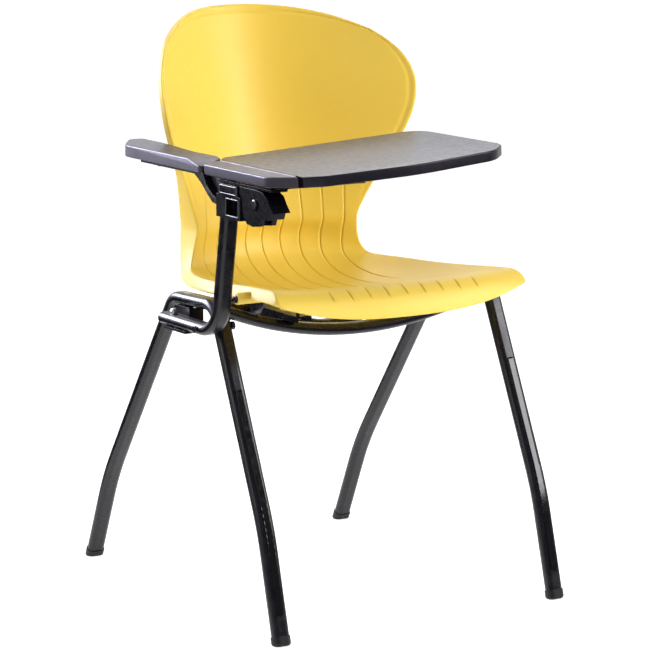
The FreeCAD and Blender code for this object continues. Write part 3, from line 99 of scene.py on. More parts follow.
class Look:
    """A procedural material, built up step by step on the piece's own coordinates."""

    def __init__(self, name, metallic=0.0, specular=0.5):
        self.material = bpy.data.materials.new(name)
        self.material.use_nodes = True
        self.tree = self.material.node_tree
        self.shader = self.tree.nodes["Principled BSDF"]
        self.shader.inputs["Metallic"].default_value = metallic
        self.shader.inputs["Specular IOR Level"].default_value = specular
        self.place = self.tree.nodes.new("ShaderNodeTexCoord").outputs["Object"]
        self.bump = None

    def link(self, source, target):
        self.tree.links.new(source, target)

    def noise(self, scale, detail=3.0, rough=0.5, stretch=None):
        """Noise of so many cells per metre; stretch scales it along X, Y and Z."""
        place = self.place
        if stretch:
            mapping = self.tree.nodes.new("ShaderNodeMapping")
            mapping.inputs["Scale"].default_value = stretch
            self.link(place, mapping.inputs["Vector"])
            place = mapping.outputs["Vector"]
        node = self.tree.nodes.new("ShaderNodeTexNoise")
        node.inputs["Scale"].default_value = scale
        node.inputs["Detail"].default_value = detail
        node.inputs["Roughness"].default_value = rough
        self.link(place, node.inputs["Vector"])
        return node.outputs["Fac"]

    def spread(self, value, low, high, low_out=0.0, high_out=1.0):
        """A value stretched from one range to another."""
        node = self.tree.nodes.new("ShaderNodeMapRange")
        node.inputs["From Min"].default_value = low
        node.inputs["From Max"].default_value = high
        node.inputs["To Min"].default_value = low_out
        node.inputs["To Max"].default_value = high_out
        self.link(value, node.inputs["Value"])
        return node.outputs["Result"]

    def colours(self, share, *stops):
        """Base colour from stops of (place, colour) along a value from 0 to 1."""
        ramp = self.tree.nodes.new("ShaderNodeValToRGB")
        elements = ramp.color_ramp.elements
        while len(elements) < len(stops):
            elements.new(0.5)
        for element, (place, colour) in zip(elements, stops):
            element.position = place
            element.color = (*colour, 1)
        self.link(share, ramp.inputs["Fac"])
        self.link(ramp.outputs["Color"], self.shader.inputs["Base Color"])

    def roughen(self, value, low, high):
        self.link(self.spread(value, 0.3, 0.7, low, high), self.shader.inputs["Roughness"])

    def raise_by(self, height, strength, distance):
        """Add relief to the surface, in metres at full height."""
        node = self.tree.nodes.new("ShaderNodeBump")
        node.inputs["Strength"].default_value = strength
        node.inputs["Distance"].default_value = distance
        self.link(height, node.inputs["Height"])
        if self.bump:
            self.link(self.bump, node.inputs["Normal"])
        self.bump = node.outputs["Normal"]
        self.link(self.bump, self.shader.inputs["Normal"])


def moulded(name, dark, light, roughness, grain, specular=0.5, tint=(1, 1, 1)):
    """Grained moulded plastic with slight cloudiness in colour and sheen."""
    look = Look(name, specular=specular)
    look.colours(look.spread(look.noise(14.0, 4.0), 0.3, 0.7), (0.0, dark), (1.0, light))
    look.roughen(look.noise(126.0, 3.0), roughness - 0.05, roughness + 0.06)
    look.raise_by(look.noise(grain, 2.0, 0.6), 0.35, 0.00012)
    look.shader.inputs["Specular Tint"].default_value = (*tint, 1)
    return look.material


def coated_steel(name, dark, light, roughness):
    """Powder coat: fine orange peel over steel, a little duller in random patches."""
    look = Look(name, specular=0.40)
    look.colours(look.spread(look.noise(9.0, 5.0), 0.3, 0.7), (0.0, dark), (1.0, light))
    look.roughen(look.noise(55.0, 4.0), roughness - 0.06, roughness + 0.08)
    look.raise_by(look.noise(650.0, 2.0), 0.25, 0.00010)
    look.raise_by(look.noise(90.0, 2.0), 0.10, 0.00020)
    return look.material


def bare_steel(name, dark, light, roughness):
    """Zinc-plated steel with fine turned or drawn lines and faint mottling."""
    look = Look(name, metallic=1.0)
    look.colours(look.spread(look.noise(60.0, 4.0), 0.3, 0.7), (0.0, dark), (1.0, light))
    look.roughen(look.noise(300.0, 3.0, 0.5, (0.15, 1.0, 1.0)), roughness - 0.06, roughness + 0.10)
    look.raise_by(look.noise(1500.0, 2.0, 0.5, (0.1, 1.0, 1.0)), 0.2, 0.00004)
    return look.material


def shell_plastic():
    """Satin yellow polypropylene: fine spark grain and faint flow clouds, light seen through thin edges."""
    look = Look("shell_yellow", specular=0.5)
    cloud = look.noise(5.0, 3.0, 0.5, (1.0, 1.0, 0.5))
    look.colours(look.spread(cloud, 0.25, 0.75), (0.0, (0.73, 0.510, 0.058)), (1.0, (0.76, 0.535, 0.070)))
    look.roughen(look.noise(70.0, 3.0), 0.50, 0.58)
    look.shader.inputs["Subsurface Weight"].default_value = 0.10
    look.shader.inputs["Subsurface Radius"].default_value = (1.0, 0.55, 0.12)
    look.shader.inputs["Subsurface Scale"].default_value = 0.006
    look.raise_by(look.noise(1400.0, 2.0, 0.6), 0.22, 0.00008)
    return look.material


# Cool cast of the sheen on the grey plastics
COOL = (0.92, 0.84, 1.0)

MATERIALS = {
    "shell_yellow": shell_plastic(),
    "frame_black": coated_steel("frame_black", (0.0025, 0.002, 0.004), (0.005, 0.0045, 0.008), 0.27),
    "strip_gloss": moulded("strip_gloss", (0.0015, 0.0015, 0.002), (0.003, 0.003, 0.004), 0.12, 900.0),
    "foot_plastic": moulded("foot_plastic", (0.004, 0.004, 0.005), (0.008, 0.008, 0.010), 0.42, 1100.0, 0.3),
    "black_steel": coated_steel("black_steel", (0.003, 0.003, 0.004), (0.006, 0.006, 0.008), 0.24),
    "bright_steel": bare_steel("bright_steel", (0.40, 0.40, 0.43), (0.62, 0.62, 0.65), 0.30),
    "arm_plastic": moulded("arm_plastic", (0.005, 0.004, 0.007), (0.009, 0.007, 0.011),
                           0.46, 1300.0, 0.68, COOL),
    "tablet_plastic": moulded("tablet_plastic", (0.005, 0.0042, 0.007), (0.008, 0.007, 0.011),
                              0.34, 1300.0, 0.30, COOL),
    "cam_plastic": moulded("cam_plastic", (0.002, 0.0015, 0.003), (0.004, 0.003, 0.006), 0.28, 900.0, 0.10),
    # A lighter black used only as a painted highlight on rounded edges and beads, where they catch the light
    "painted_edge_highlight": coated_steel("painted_edge_highlight", (0.05, 0.05, 0.055), (0.10, 0.10, 0.11), 0.24),
    "hinge_steel": bare_steel("hinge_steel", (0.055, 0.048, 0.048), (0.085, 0.075, 0.074), 0.50),
    "rest_rubber": moulded("rest_rubber", (0.004, 0.004, 0.004), (0.008, 0.008, 0.008), 0.75, 700.0, 0.2),
}
SLOT_OF = {part["node"]: part["material_slot"] for part in frame["record"]["subparts"]}
HINGE_NODES = ("hinge_fixed_leaf", "hinge_moving_leaf", "hinge_pin")


# Width of each piece's rounded edges, and its finish
SOFT_EDGES = {
    "pivot_housing": (0.0007, "cam_plastic"), "locking_cam": (0.0006, "cam_plastic"),
    "arm_bracket": (0.0006, "frame_black"), "hinge_carrier": (0.0004, "cam_plastic"),
    "arm_mount_plate": (0.0005, "frame_black"), "left_seat_channel": (0.0005, "frame_black"),
    "right_seat_channel": (0.0005, "frame_black"), "left_front_tab": (0.0004, "frame_black"),
    "right_front_tab": (0.0004, "frame_black"), "rest_pad": (0.0008, "rest_rubber"),
    "armrest_pad": (0.0026, "arm_plastic"), "tablet_strip": (0.0016, "arm_plastic"),
    "tablet_board": (0.0016, "tablet_plastic"),
}

# Pieces whose bevelled edges get a lighter material: a painted highlight standing in for light caught on
# their rounded edges
PAINTED_HIGHLIGHT_NODES = ("pivot_housing",)


def softened(node, width, slot):
    """A node's own shape with its hard edges rounded over, so that they catch the light."""
    bm = bmesh.new()
    bm.from_mesh(nodes[node].data)
    bmesh.ops.remove_doubles(bm, verts=bm.verts, dist=2e-6)
    bmesh.ops.dissolve_limit(bm, angle_limit=math.radians(1), verts=bm.verts, edges=bm.edges)
    mesh = bpy.data.meshes.new(node + "_soft")
    bm.to_mesh(mesh)
    bm.free()
    body = nodes[node]["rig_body"]
    piece = finish_piece(node + "_soft", mesh, slot, body, [node], 50)
    bevel = piece.modifiers.new("edges", "BEVEL")
    bevel.width = width
    bevel.segments = 3
    bevel.limit_method = "ANGLE"
    bevel.angle_limit = math.radians(35)
    bevel.use_clamp_overlap = True
    # The bevel gets the lighter material: a painted highlight along the housing's edges
    if node in PAINTED_HIGHLIGHT_NODES:
        mesh.materials.append(MATERIALS["painted_edge_highlight"])
        bevel.material = 1


def dress_cad_nodes():
    """Every carried-over piece gets its material, and smooth curves between its sharp edges."""
    for name, piece in nodes.items():
        piece.data.materials.clear()
        finish = "hinge_steel" if name in HINGE_NODES else SLOT_OF[name]
        piece.data.materials.append(MATERIALS[finish])
        piece.data.set_sharp_from_angle(angle=math.radians(32))


# New pieces

def new_piece(name, points, faces, slot, body, replaced=()):
    """A mesh piece with its material, its body and the nodes that it stands for."""
    mesh = bpy.data.meshes.new(name)
    mesh.from_pydata([tuple(point) for point in points], [], faces)
    mesh.update()
    return finish_piece(name, mesh, slot, body, replaced)


def finish_piece(name, mesh, slot, body, replaced=(), sharp=38):
    piece = bpy.data.objects.new(name, mesh)
    bpy.context.scene.collection.objects.link(piece)
    mesh.materials.append(MATERIALS[slot])
    mesh.set_sharp_from_angle(angle=math.radians(sharp))
    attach(piece, body)
    if replaced:
        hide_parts(*replaced)
    return piece


# Moulded shell, in rows from the top of the back to the seat's lip. Each row gives, as shares of
# these main sizes, the middle's y and z, the half width, the edge's y and z, the flatness, and the
# skirt's way out, back and down.
SEAT_LOW, CREASE_RISE, BACK_HEIGHT, SEAT_RISE = 0.411, 0.086, 0.305, 0.042
BACK_HALF_WIDTH, BACK_REACH, SEAT_HALF_WIDTH, SEAT_REACH = 0.207, 0.228, 0.176, 0.246
BACK_ROW_SHARES = [
    (0.992, 0.987, 0.807, 0.518, 0.871, 0.18, 0.02, 0.20, 0.00),
    (0.944, 0.862, 0.929, 0.387, 0.807, 0.20, 0.02, 0.21, 0.00),
    (0.895, 0.731, 1.005, 0.287, 0.702, 0.40, 0.02, 0.22, 0.00),
    (0.855, 0.633, 1.004, 0.247, 0.591, 0.50, 0.02, 0.24, 0.00),
    (0.820, 0.534, 0.969, 0.255, 0.487, 0.50, 0.03, 0.27, 0.00),
    (0.781, 0.436, 0.914, 0.282, 0.398, 0.50, 0.03, 0.30, 0.00),
    (0.746, 0.338, 0.844, 0.317, 0.310, 0.50, 0.04, 0.34, 0.00),
    (0.706, 0.239, 0.783, 0.360, 0.226, 0.50, 0.05, 0.42, 0.00),
    (0.667, 0.125, 0.715, 0.404, 0.125, 0.50, 0.05, 0.66, 0.00),
    (0.632, 0.033, 0.655, 0.436, 0.036, 0.45, 0.05, 0.92, 0.00),
    (0.614, 0.000, 0.638, 0.439, -0.007, 0.40, 0.05, 1.00, 0.00),
    (0.625, -0.030, 0.646, 0.445, -0.040, 0.40, 0.05, 0.96, 0.02),
]
SEAT_ROW_SHARES = [
    (0.622, 1.476, 0.773, 0.427, 1.333, 0.30, 0.04, 0.80, 0.10),
    (0.594, 0.833, 0.824, 0.407, 0.762, 0.10, 0.08, 0.50, 0.34),
    (0.496, 0.405, 0.886, 0.325, 0.738, 0.00, 0.12, 0.20, 0.38),
    (0.366, 0.143, 0.938, 0.224, 0.738, 0.00, 0.15, 0.04, 0.37),
    (0.183, 0.012, 0.972, 0.102, 0.762, 0.00, 0.17, 0.00, 0.36),
    (-0.041, 0.048, 0.994, -0.061, 0.786, 0.00, 0.17, 0.00, 0.36),
    (-0.244, 0.190, 0.989, -0.244, 0.857, 0.00, 0.17, 0.00, 0.36),
    (-0.447, 0.429, 1.000, -0.447, 0.952, 0.00, 0.17, 0.00, 0.36),
    (-0.650, 0.714, 1.034, -0.630, 1.036, 0.00, 0.17, 0.00, 0.36),
    (-0.805, 0.976, 1.068, -0.785, 1.095, 0.00, 0.16, 0.00, 0.37),
    (-0.860, 1.000, 1.095, -0.835, 1.090, 0.00, 0.13, 0.00, 0.34),
    (-0.927, 0.880, 1.117, -0.880, 1.000, 0.00, 0.08, 0.05, 0.26),
    (-0.984, 0.524, 1.125, -0.915, 0.830, 0.00, 0.03, 0.14, 0.12),
    (-1.000, 0.048, 1.114, -0.935, 0.690, 0.00, 0.00, 0.20, 0.00),
]
ACROSS = np.array([-1, -0.94, -0.82, -0.64, -0.43, -0.21, 0, 0.21, 0.43, 0.64, 0.82, 0.94, 1])


def blend_weights(count, values):
    """Cubic weights of evenly spaced control points, clamped at both ends, for values from 0 to 1."""
    knots = np.concatenate(([0.0] * 3, np.linspace(0, 1, count - 2), [1.0] * 3))
    values = np.clip(values, 0, 1 - 1e-9)
    weights = [((knots[i] <= values) & (values < knots[i + 1])).astype(float) for i in range(len(knots) - 1)]
    for order in (1, 2, 3):
        following = []
        for i in range(len(knots) - 1 - order):
            part = np.zeros_like(values)
            if knots[i + order] > knots[i]:
                part += (values - knots[i]) / (knots[i + order] - knots[i]) * weights[i]
            if knots[i + order + 1] > knots[i + 1]:
                span = knots[i + order + 1] - knots[i + 1]
                part += (knots[i + order + 1] - values) / span * weights[i + 1]
            following.append(part)
        weights = following
    return np.stack(weights, -1)


class ShellForm:
    """The front of the shell as a smooth surface, with the skirt's direction along its rim."""

    def __init__(self):
        poles, widths, skirts = [], [], []
        crease = SEAT_LOW + CREASE_RISE
        tables = ((BACK_ROW_SHARES, BACK_REACH, crease, BACK_HEIGHT, BACK_HALF_WIDTH),
                  (SEAT_ROW_SHARES, SEAT_REACH, SEAT_LOW, SEAT_RISE, SEAT_HALF_WIDTH))
        for rows, reach, base, height, half_width in tables:
            for mid_y, mid_z, wide, edge_y, edge_z, flat, out, back, down in rows:
                square = ACROSS ** 2
                sweep = (1 + flat) * square - flat * square ** 2
                y = (mid_y + (edge_y - mid_y) * sweep) * reach
                z = base + (mid_z + (edge_z - mid_z) * np.abs(ACROSS) ** 3) * height
                poles.append(np.stack([wide * half_width * ACROSS, y, z], -1))
                widths.append(wide * half_width)
                skirts.append((out, back, down))
        self.poles = np.array(poles)
        self.widths = np.array(widths)
        self.skirts = np.array(skirts)
        fine = np.linspace(0, 1, 2001)
        self.fine = fine
        self.fine_shares = blend_weights(len(ACROSS), fine) @ ACROSS

    def along(self, u, table):
        return np.tensordot(blend_weights(len(self.poles), np.atleast_1d(u)), table, 1)

    def at(self, u, shares):
        """Points for each u (rows) at each row's shares of the half width (columns)."""
        rows = self.along(u, self.poles)
        v = np.interp(shares, self.fine_shares, self.fine)
        return np.einsum("rcs,rsk->rck", blend_weights(len(ACROSS), v), rows)

    def skirt(self, u, shares):
        """The skirt's depth at rim points, outward, back and down."""
        out, back, down = self.along(u, self.skirts).T
        return np.stack([out * shares, back, -down], -1) * SKIRT_DEPTH


def groove_columns():
    """Distances from the middle at which the shell's columns stand, close together at each groove."""
    places = set()
    for index in range(-GROOVES_EACH_SIDE, GROOVES_EACH_SIDE + 1):
        middle = index * GROOVE_PITCH
        for offset in (-1.5, -1.0, -0.65, -0.33, 0, 0.33, 0.65, 1.0, 1.5):
            places.add(round(middle + offset * GROOVE_HALF, 6))
        if index < GROOVES_EACH_SIDE:
            for step in (0.2, 0.4, 0.6, 0.8):
                places.add(round(middle + step * GROOVE_PITCH, 6))
    return np.array(sorted(places))


def groove_depth(x, y, z):
    """How far the face sinks: nine long grooves through the crease, and short ones on the lip."""
    distance = np.abs((x + GROOVE_PITCH / 2) % GROOVE_PITCH - GROOVE_PITCH / 2)
    profile = np.clip(1 - distance / GROOVE_HALF, 0, 1)
    profile = profile * profile * (3 - 2 * profile)
    inside = np.abs(x) < GROOVE_PITCH * (GROOVES_EACH_SIDE + 0.4)
    outer = np.abs(x) / (GROOVE_PITCH * GROOVES_EACH_SIDE)
    back = np.clip((0.585 - z + 0.01 * outer) / 0.03, 0, 1) * np.clip((y + 0.055) / 0.075, 0, 1)
    lip = np.clip((0.4525 - z) / 0.002, 0, 1) * np.clip((z - 0.4405) / 0.002, 0, 1) * (y < -0.2)
    return profile * inside * np.maximum(np.where(y > -0.1, back, 0), lip * 1.2) * GROOVE_DEPTH


def rim_valley(gap, z):
    """How far the back's face sinks in the shallow valley that runs round it, just inside its rim."""
    profile = np.clip(1 - np.abs(gap - VALLEY_PLACE) / VALLEY_HALF, 0, 1)
    profile = profile * profile * (3 - 2 * profile)
    return profile * np.clip((z - 0.52) / 0.05, 0, 1) * VALLEY_DEPTH


def unit(vectors):
    return vectors / np.linalg.norm(vectors, axis=-1, keepdims=True)


def shell_grid(form):
    """The shell's face on a fine grid, just inside its rim, with its normals away from the sitter."""
    fine_u = np.linspace(0, 1, 1601)
    middle = form.at(fine_u, np.zeros((len(fine_u), 1)))[:, 0]
    travelled = np.concatenate(([0], np.cumsum(np.linalg.norm(np.diff(middle, axis=0), axis=1))))
    stops = np.linspace(RIM_ROUND, travelled[-1] - RIM_ROUND, 210)
    near_rim = np.arange(1, 9) * VALLEY_HALF * 0.35
    stops = np.sort(np.concatenate([stops, RIM_ROUND + near_rim]))
    u = np.interp(stops, travelled, fine_u)
    widths = form.along(u, form.widths)
    inner = groove_columns()
    outer_steps = (np.arange(1, 15) / 14) ** 0.9
    columns, gaps = [], []
    for width, stop in zip(widths, stops):
        edge = width - RIM_ROUND * 0.8
        room = edge - inner[-1]
        margin = near_rim * min(1.0, 0.55 * room / near_rim[-1])
        outer = inner[-1] + (room - margin[-1] * 1.1) * outer_steps
        outer = np.concatenate([outer, edge - margin[::-1], [edge]])
        places = np.concatenate([-outer[::-1], inner, outer])
        columns.append(places / width)
        gaps.append(np.minimum(edge - np.abs(places), stop - stops[0]))
    shares = np.array(columns)
    points = form.at(u, shares)
    down, across = np.gradient(points, axis=0), np.gradient(points, axis=1)
    normals = unit(np.cross(across, down))
    if normals[40, shares.shape[1] // 2, 1] < 0:
        normals = -normals
    return u, shares, points, normals, np.array(gaps)


def perimeter(rows, columns):
    """Grid places round the rim, as one closed loop."""
    loop = [(0, j) for j in range(columns)]
    loop += [(i, columns - 1) for i in range(1, rows)]
    loop += [(rows - 1, j) for j in range(columns - 2, -1, -1)]
    loop += [(i, 0) for i in range(rows - 2, 0, -1)]
    return np.array(loop)


def shell_piece():
    form = ShellForm()
    u, shares, points, normals, gaps = shell_grid(form)
    rows, columns = shares.shape
    loop = perimeter(rows, columns)
    i, j = loop.T
    rim_u = (u[i] - u[0]) / (u[-1] - u[0])
    rim_shares = np.clip(shares[i, j] / np.abs(shares[i, -1]), -1, 1)
    rim = form.at(rim_u, rim_shares[:, None])[:, 0]
    skirt = form.skirt(rim_u, rim_shares)
    length = np.linalg.norm(skirt, axis=1, keepdims=True)
    onward = skirt / length
    edge = points[i, j]
    inward = unit(edge - rim)
    sunk = groove_depth(points[..., 0], points[..., 1], points[..., 2]) + rim_valley(gaps, points[..., 2])
    face = points + normals * sunk[..., None]
    rear = points + normals * WALL
    bend = rim + onward * np.minimum(RIM_ROUND, length * 0.4)
    end, small = rim + skirt, 0.0012
    loops = []
    for t in (0.2, 0.4, 0.6, 0.8, 1.0):
        loops.append(edge * (1 - t) ** 2 + rim * 2 * t * (1 - t) + bend * t ** 2)
    loops += [bend + (end - bend) * share for share in (0.33, 0.66)]
    loops += [end - onward * small, end - onward * small * 0.3 + inward * small * 0.3, end + inward * small,
              end + inward * (WALL - small), end + inward * (WALL - small * 0.3) - onward * small * 0.3,
              end + inward * WALL - onward * small]
    loops.append(rim + onward * np.minimum(WALL * 1.3, length * 0.7) + inward * WALL)
    count, ring = rows * columns, len(loop)
    vertices = np.concatenate([face.reshape(-1, 3)] + loops + [rear.reshape(-1, 3)]) + SHIFT
    first_ring = [a * columns + b for a, b in loop]
    rings = [first_ring] + [[count + k * ring + n for n in range(ring)] for k in range(len(loops))]
    offset = count + len(loops) * ring
    rings.append([offset + index for index in first_ring])
    faces = []
    for a in range(rows - 1):
        for b in range(columns - 1):
            corner = a * columns + b
            quad = (corner, corner + 1, corner + columns + 1, corner + columns)
            faces.append(quad)
            faces.append(tuple(offset + index for index in reversed(quad)))
    for first, second in zip(rings, rings[1:]):
        for n in range(ring):
            following = (n + 1) % ring
            faces.append((first[following], first[n], second[n], second[following]))
    shell = new_piece("shell_moulding", vertices, faces, "shell_yellow", "root", ["seat_shell"])
    bm = bmesh.new()
    bm.from_mesh(shell.data)
    bmesh.ops.recalc_face_normals(bm, faces=bm.faces)
    bm.to_mesh(shell.data)
    bm.free()
    shell.data.set_sharp_from_angle(angle=math.radians(60))


def lathe(name, profile, start, axis, slot, body, replaced=()):
    """A turned piece: (distance along the axis, radius) from a start point along an axis."""
    segments = 48
    bm = bmesh.new()
    previous = None
    for distance, radius in profile:
        turns = [math.tau * k / segments for k in range(segments)]
        ring = [bm.verts.new((radius * math.cos(a), radius * math.sin(a), distance)) for a in turns]
        if previous:
            for k in range(segments):
                bm.faces.new((previous[k], previous[(k + 1) % segments], ring[(k + 1) % segments], ring[k]))
        previous = ring
    bmesh.ops.remove_doubles(bm, verts=bm.verts, dist=1e-6)
    bmesh.ops.recalc_face_normals(bm, faces=bm.faces)
    turn = Vector((0, 0, 1)).rotation_difference(Vector(axis)).to_matrix().to_4x4()
    bm.transform(Matrix.Translation(Vector(start)) @ turn)
    mesh = bpy.data.meshes.new(name)
    bm.to_mesh(mesh)
    bm.free()
    finish_piece(name, mesh, slot, body, replaced)


def shell_lugs():
    """Round side lugs that the shell is screwed through."""
    for side, word in ((-1, "right_hand"), (1, "left_hand")):
        start = Vector((SHIFT[0] + LUG_REACH * side, SHIFT[1] + LUG_Y, LUG_Z))
        profile = [(0.037, 0.0028), (0.0006, 0.0028), (0.0, 0.0035), (0.0, 0.0070), (0.0004, 0.0077),
                   (0.0012, 0.0080), (0.037, 0.0080), (0.037, 0.0028)]
        lathe(f"shell_lug_{word}", profile, start, (-side, 0, 0), "shell_yellow", "root")


def tube_along(name, path, radii, slot, body, sides=10):
    """A round bead or lip along a closed path, with its own thickness at every point."""
    count = len(path)
    ahead = unit(np.roll(path, -1, axis=0) - np.roll(path, 1, axis=0))
    away = unit(path - path.mean(axis=0) + 1e-9)
    side = unit(np.cross(ahead, away))
    up = np.cross(side, ahead)
    angles = np.arange(sides) * math.tau / sides
    points = [path[k] + radii[k] * (math.cos(a) * side[k] + math.sin(a) * up[k])
              for k in range(count) for a in angles]
    faces = []
    for k in range(count):
        following = (k + 1) % count
        for n in range(sides):
            m = (n + 1) % sides
            faces.append((k * sides + n, k * sides + m, following * sides + m, following * sides + n))
    return new_piece(name, points, faces, slot, body)


def respaced(path, spacing):
    """The same closed path with evenly spaced points."""
    path = np.array(path)
    path = np.vstack([path, path[:1]])
    length = np.concatenate(([0], np.cumsum(np.linalg.norm(np.diff(path, axis=0), axis=1))))
    stops = np.linspace(0, length[-1], max(int(length[-1] / spacing), 8) + 1)[:-1]
    return np.stack([np.interp(stops, length, path[:, k]) for k in range(3)], -1)


def weld(name, bar, frame_piece):
    """The bead where a crossbar's end meets a side frame, laid in overlapping scales."""
    touch, spacing, scale_length, thick = 0.0006, 0.0005, 0.0021, 0.0019
    data = nodes[frame_piece].data
    tree = BVHTree.FromPolygons([v.co for v in data.vertices], [p.vertices for p in data.polygons])
    near = [np.array(v.co) for v in nodes[bar].data.vertices
            if tree.find_nearest(v.co, touch)[0] is not None]
    middle = np.mean(near, axis=0)
    bins = {}
    for point in near:
        offset = point - middle
        place = int((math.atan2(offset[2], offset[1]) + math.pi) / math.tau * 28)
        reach = math.hypot(offset[1], offset[2])
        if place not in bins or reach > bins[place][0]:
            bins[place] = (reach, point)
    ring = np.array([bins[place][1] for place in sorted(bins)])
    ring = respaced(ring, spacing)
    for _ in range(3):
        ring = (ring + np.roll(ring, 1, axis=0) + np.roll(ring, -1, axis=0)) / 3
    scales = np.abs((np.arange(len(ring)) * spacing / scale_length) % 1 - 0.35)
    tube_along(name, ring, thick - 0.0007 * scales, "frame_black", "root")


def strip_lip(word, side):
    """Raised lip round the glossy strip on a front leg, with rounded ends."""
    turn = math.atan(LEG_TOE * side)
    centre = np.array([SHIFT[0] + LEG_TRACK * side, SHIFT[1], 0])
    edges = {-1: [], 1: []}
    rows = {}
    for vertex in nodes[f"{word}_leg_strip"].data.vertices:
        offset = np.array(vertex.co) - centre
        across = offset[0] * math.cos(turn) + offset[1] * math.sin(turn)
        if abs(across) > STRIP_EDGE:
            rows.setdefault((int(np.sign(across)), round(vertex.co.z, 4)), []).append(np.array(vertex.co))
    for (hand, _), points in rows.items():
        edges[hand].append(np.mean(points, axis=0))
    left = sorted(edges[-1], key=lambda point: -point[2])
    right = sorted(edges[1], key=lambda point: point[2])

    def cap(first, last, onward):
        middle, arm = (first + last) / 2, (first - last) / 2
        reach = unit(onward) * np.linalg.norm(arm)
        return [middle + arm * math.cos(a) + reach * math.sin(a) for a in np.linspace(0.2, math.pi - 0.2, 9)]

    low = cap(left[-1], right[0], left[-1] - left[-2])
    high = cap(right[-1], left[0], right[-1] - right[-2])
    loop = respaced(left + low + right + high, 0.002)
    tube_along(f"{word}_strip_lip", loop, np.full(len(loop), 0.0007), "strip_gloss", "root", sides=8)


def side_screws():
    """Round-headed black screws with a socket, one in each side lug."""
    for side, word in ((-1, "right_hand"), (1, "left_hand")):
        start = Vector((SHIFT[0] + SCREW_REACH * side, SHIFT[1] + LUG_Y, LUG_Z))
        profile = [(0.0016, 0.0), (0.0016, 0.0021), (0.0001, 0.0024), (0.0, 0.0032), (0.0004, 0.0046),
                   (0.0012, 0.0054), (0.0025, 0.0055), (0.0025, 0.0025), (0.0385, 0.0025), (0.0385, 0.0)]
        replaced = ["shell_side_screws"] if side < 0 else ()
        lathe(f"side_screw_{word}", profile, start, (-side, 0, 0), "black_steel", "root", replaced)


def housing_rims():
    """Raised beads round the housing's recess and its cap, in the lighter black as a painted highlight where
    their rounded edges catch the light.
    """
    low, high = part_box("pivot_housing")
    face, bottom, rear = low[0], low[2], high[1]
    front, top = rear - HOUSING_DEPTH, bottom + HOUSING_HEIGHT
    corner, bead, inset = 0.002, 0.0008, RECESS_RIM / 2
    windows = {
        "recess": (front + RECESS_RIM, front + RECESS_LENGTH, bottom + RECESS_RIM, top - RECESS_RIM),
        "cap": (front + CAP_INSET + inset, rear - CAP_INSET - inset, top + inset, top + CAP_HEIGHT - inset),
    }
    for name, (near, far, floor, ceiling) in windows.items():
        path = []
        centres = ((far - corner, ceiling - corner), (near + corner, ceiling - corner),
                   (near + corner, floor + corner), (far - corner, floor + corner))
        for quarter, (y, z) in enumerate(centres):
            for step in range(5):
                turn = math.radians(90 * quarter + 22.5 * step)
                path.append((face, y + corner * math.cos(turn), z + corner * math.sin(turn)))
        path = respaced(path, 0.001)
        piece = tube_along(f"housing_{name}_rim", path, np.full(len(path), bead), "frame_black", "root")
        # Painted highlight: the beads take the lighter edge material
        piece.data.materials[0] = MATERIALS["painted_edge_highlight"]


# Light, floor and view

def area_light(name, place, aim, size, power, colour=(1, 1, 1), spread=180):
    """A soft rectangular lamp that the view doesn't show."""
    data = bpy.data.lights.new(name, "AREA")
    data.shape = "RECTANGLE"
    data.size, data.size_y = size
    data.energy = power
    data.color = colour
    data.spread = math.radians(spread)
    light = bpy.data.objects.new(name, data)
    light.location = place
    light.rotation_euler = (Vector(aim) - Vector(place)).to_track_quat("-Z", "Y").to_euler()
    light.visible_camera = False
    bpy.context.scene.collection.objects.link(light)
    return light


def along_direction(tree, coordinates, direction):
    """How far a point lies along a direction."""
    node = tree.nodes.new("ShaderNodeVectorMath")
    node.operation = "DOT_PRODUCT"
    node.inputs[1].default_value = direction
    tree.links.new(coordinates, node.inputs[0])
    return node.outputs["Value"]


def ranged(tree, value, low, high, low_out, high_out):
    """A value eased from one range into another."""
    node = tree.nodes.new("ShaderNodeMapRange")
    node.interpolation_type = "SMOOTHSTEP"
    for name, number in (("From Min", low), ("From Max", high), ("To Min", low_out), ("To Max", high_out)):
        node.inputs[name].default_value = number
    tree.links.new(value, node.inputs["Value"])
    return node.outputs["Result"]


def paper_floor():
    """A pale paper floor that glows as painted light, brighter behind the chair and dimmer in front of it.
    """
    floor = bpy.data.meshes.new("floor")
    span = 60.0
    corners = [(-span, -span, 0), (span, -span, 0), (span, span, 0), (-span, span, 0)]
    floor.from_pydata(corners, [], [(0, 1, 2, 3)])
    piece = bpy.data.objects.new("floor", floor)
    bpy.context.scene.collection.objects.link(piece)
    paper = bpy.data.materials.new("floor_paper")
    paper.use_nodes = True
    tree = paper.node_tree
    shader = tree.nodes["Principled BSDF"]
    shader.inputs["Base Color"].default_value = (0.80, 0.80, 0.80, 1)
    shader.inputs["Roughness"].default_value = 0.9
    shader.inputs["Specular IOR Level"].default_value = 0.1
    shader.inputs["Emission Color"].default_value = (1, 1, 1, 1)
    place = tree.nodes.new("ShaderNodeTexCoord").outputs["Object"]
    front = along_direction(tree, place, (0.55, -0.83, 0))
    # Painted light: the floor's emission, stronger behind the chair and weaker in front of it
    tree.links.new(ranged(tree, front, 0.7, 2.2, 0.60, 0.10), shader.inputs["Emission Strength"])
    floor.materials.append(paper)


def surroundings():
    """A white studio, bright behind the chair and dim in front of it."""
    world = bpy.data.worlds.new("studio")
    world.use_nodes = True
    tree = world.node_tree
    background = tree.nodes["Background"]
    background.inputs["Color"].default_value = (1, 1, 1, 1)
    direction = tree.nodes.new("ShaderNodeTexCoord").outputs["Generated"]
    behind = along_direction(tree, direction, (-0.15, 0.98, 0.10))
    tree.links.new(ranged(tree, behind, -0.5, 0.6, 0.12, 0.95), background.inputs["Strength"])
    bpy.context.scene.world = world


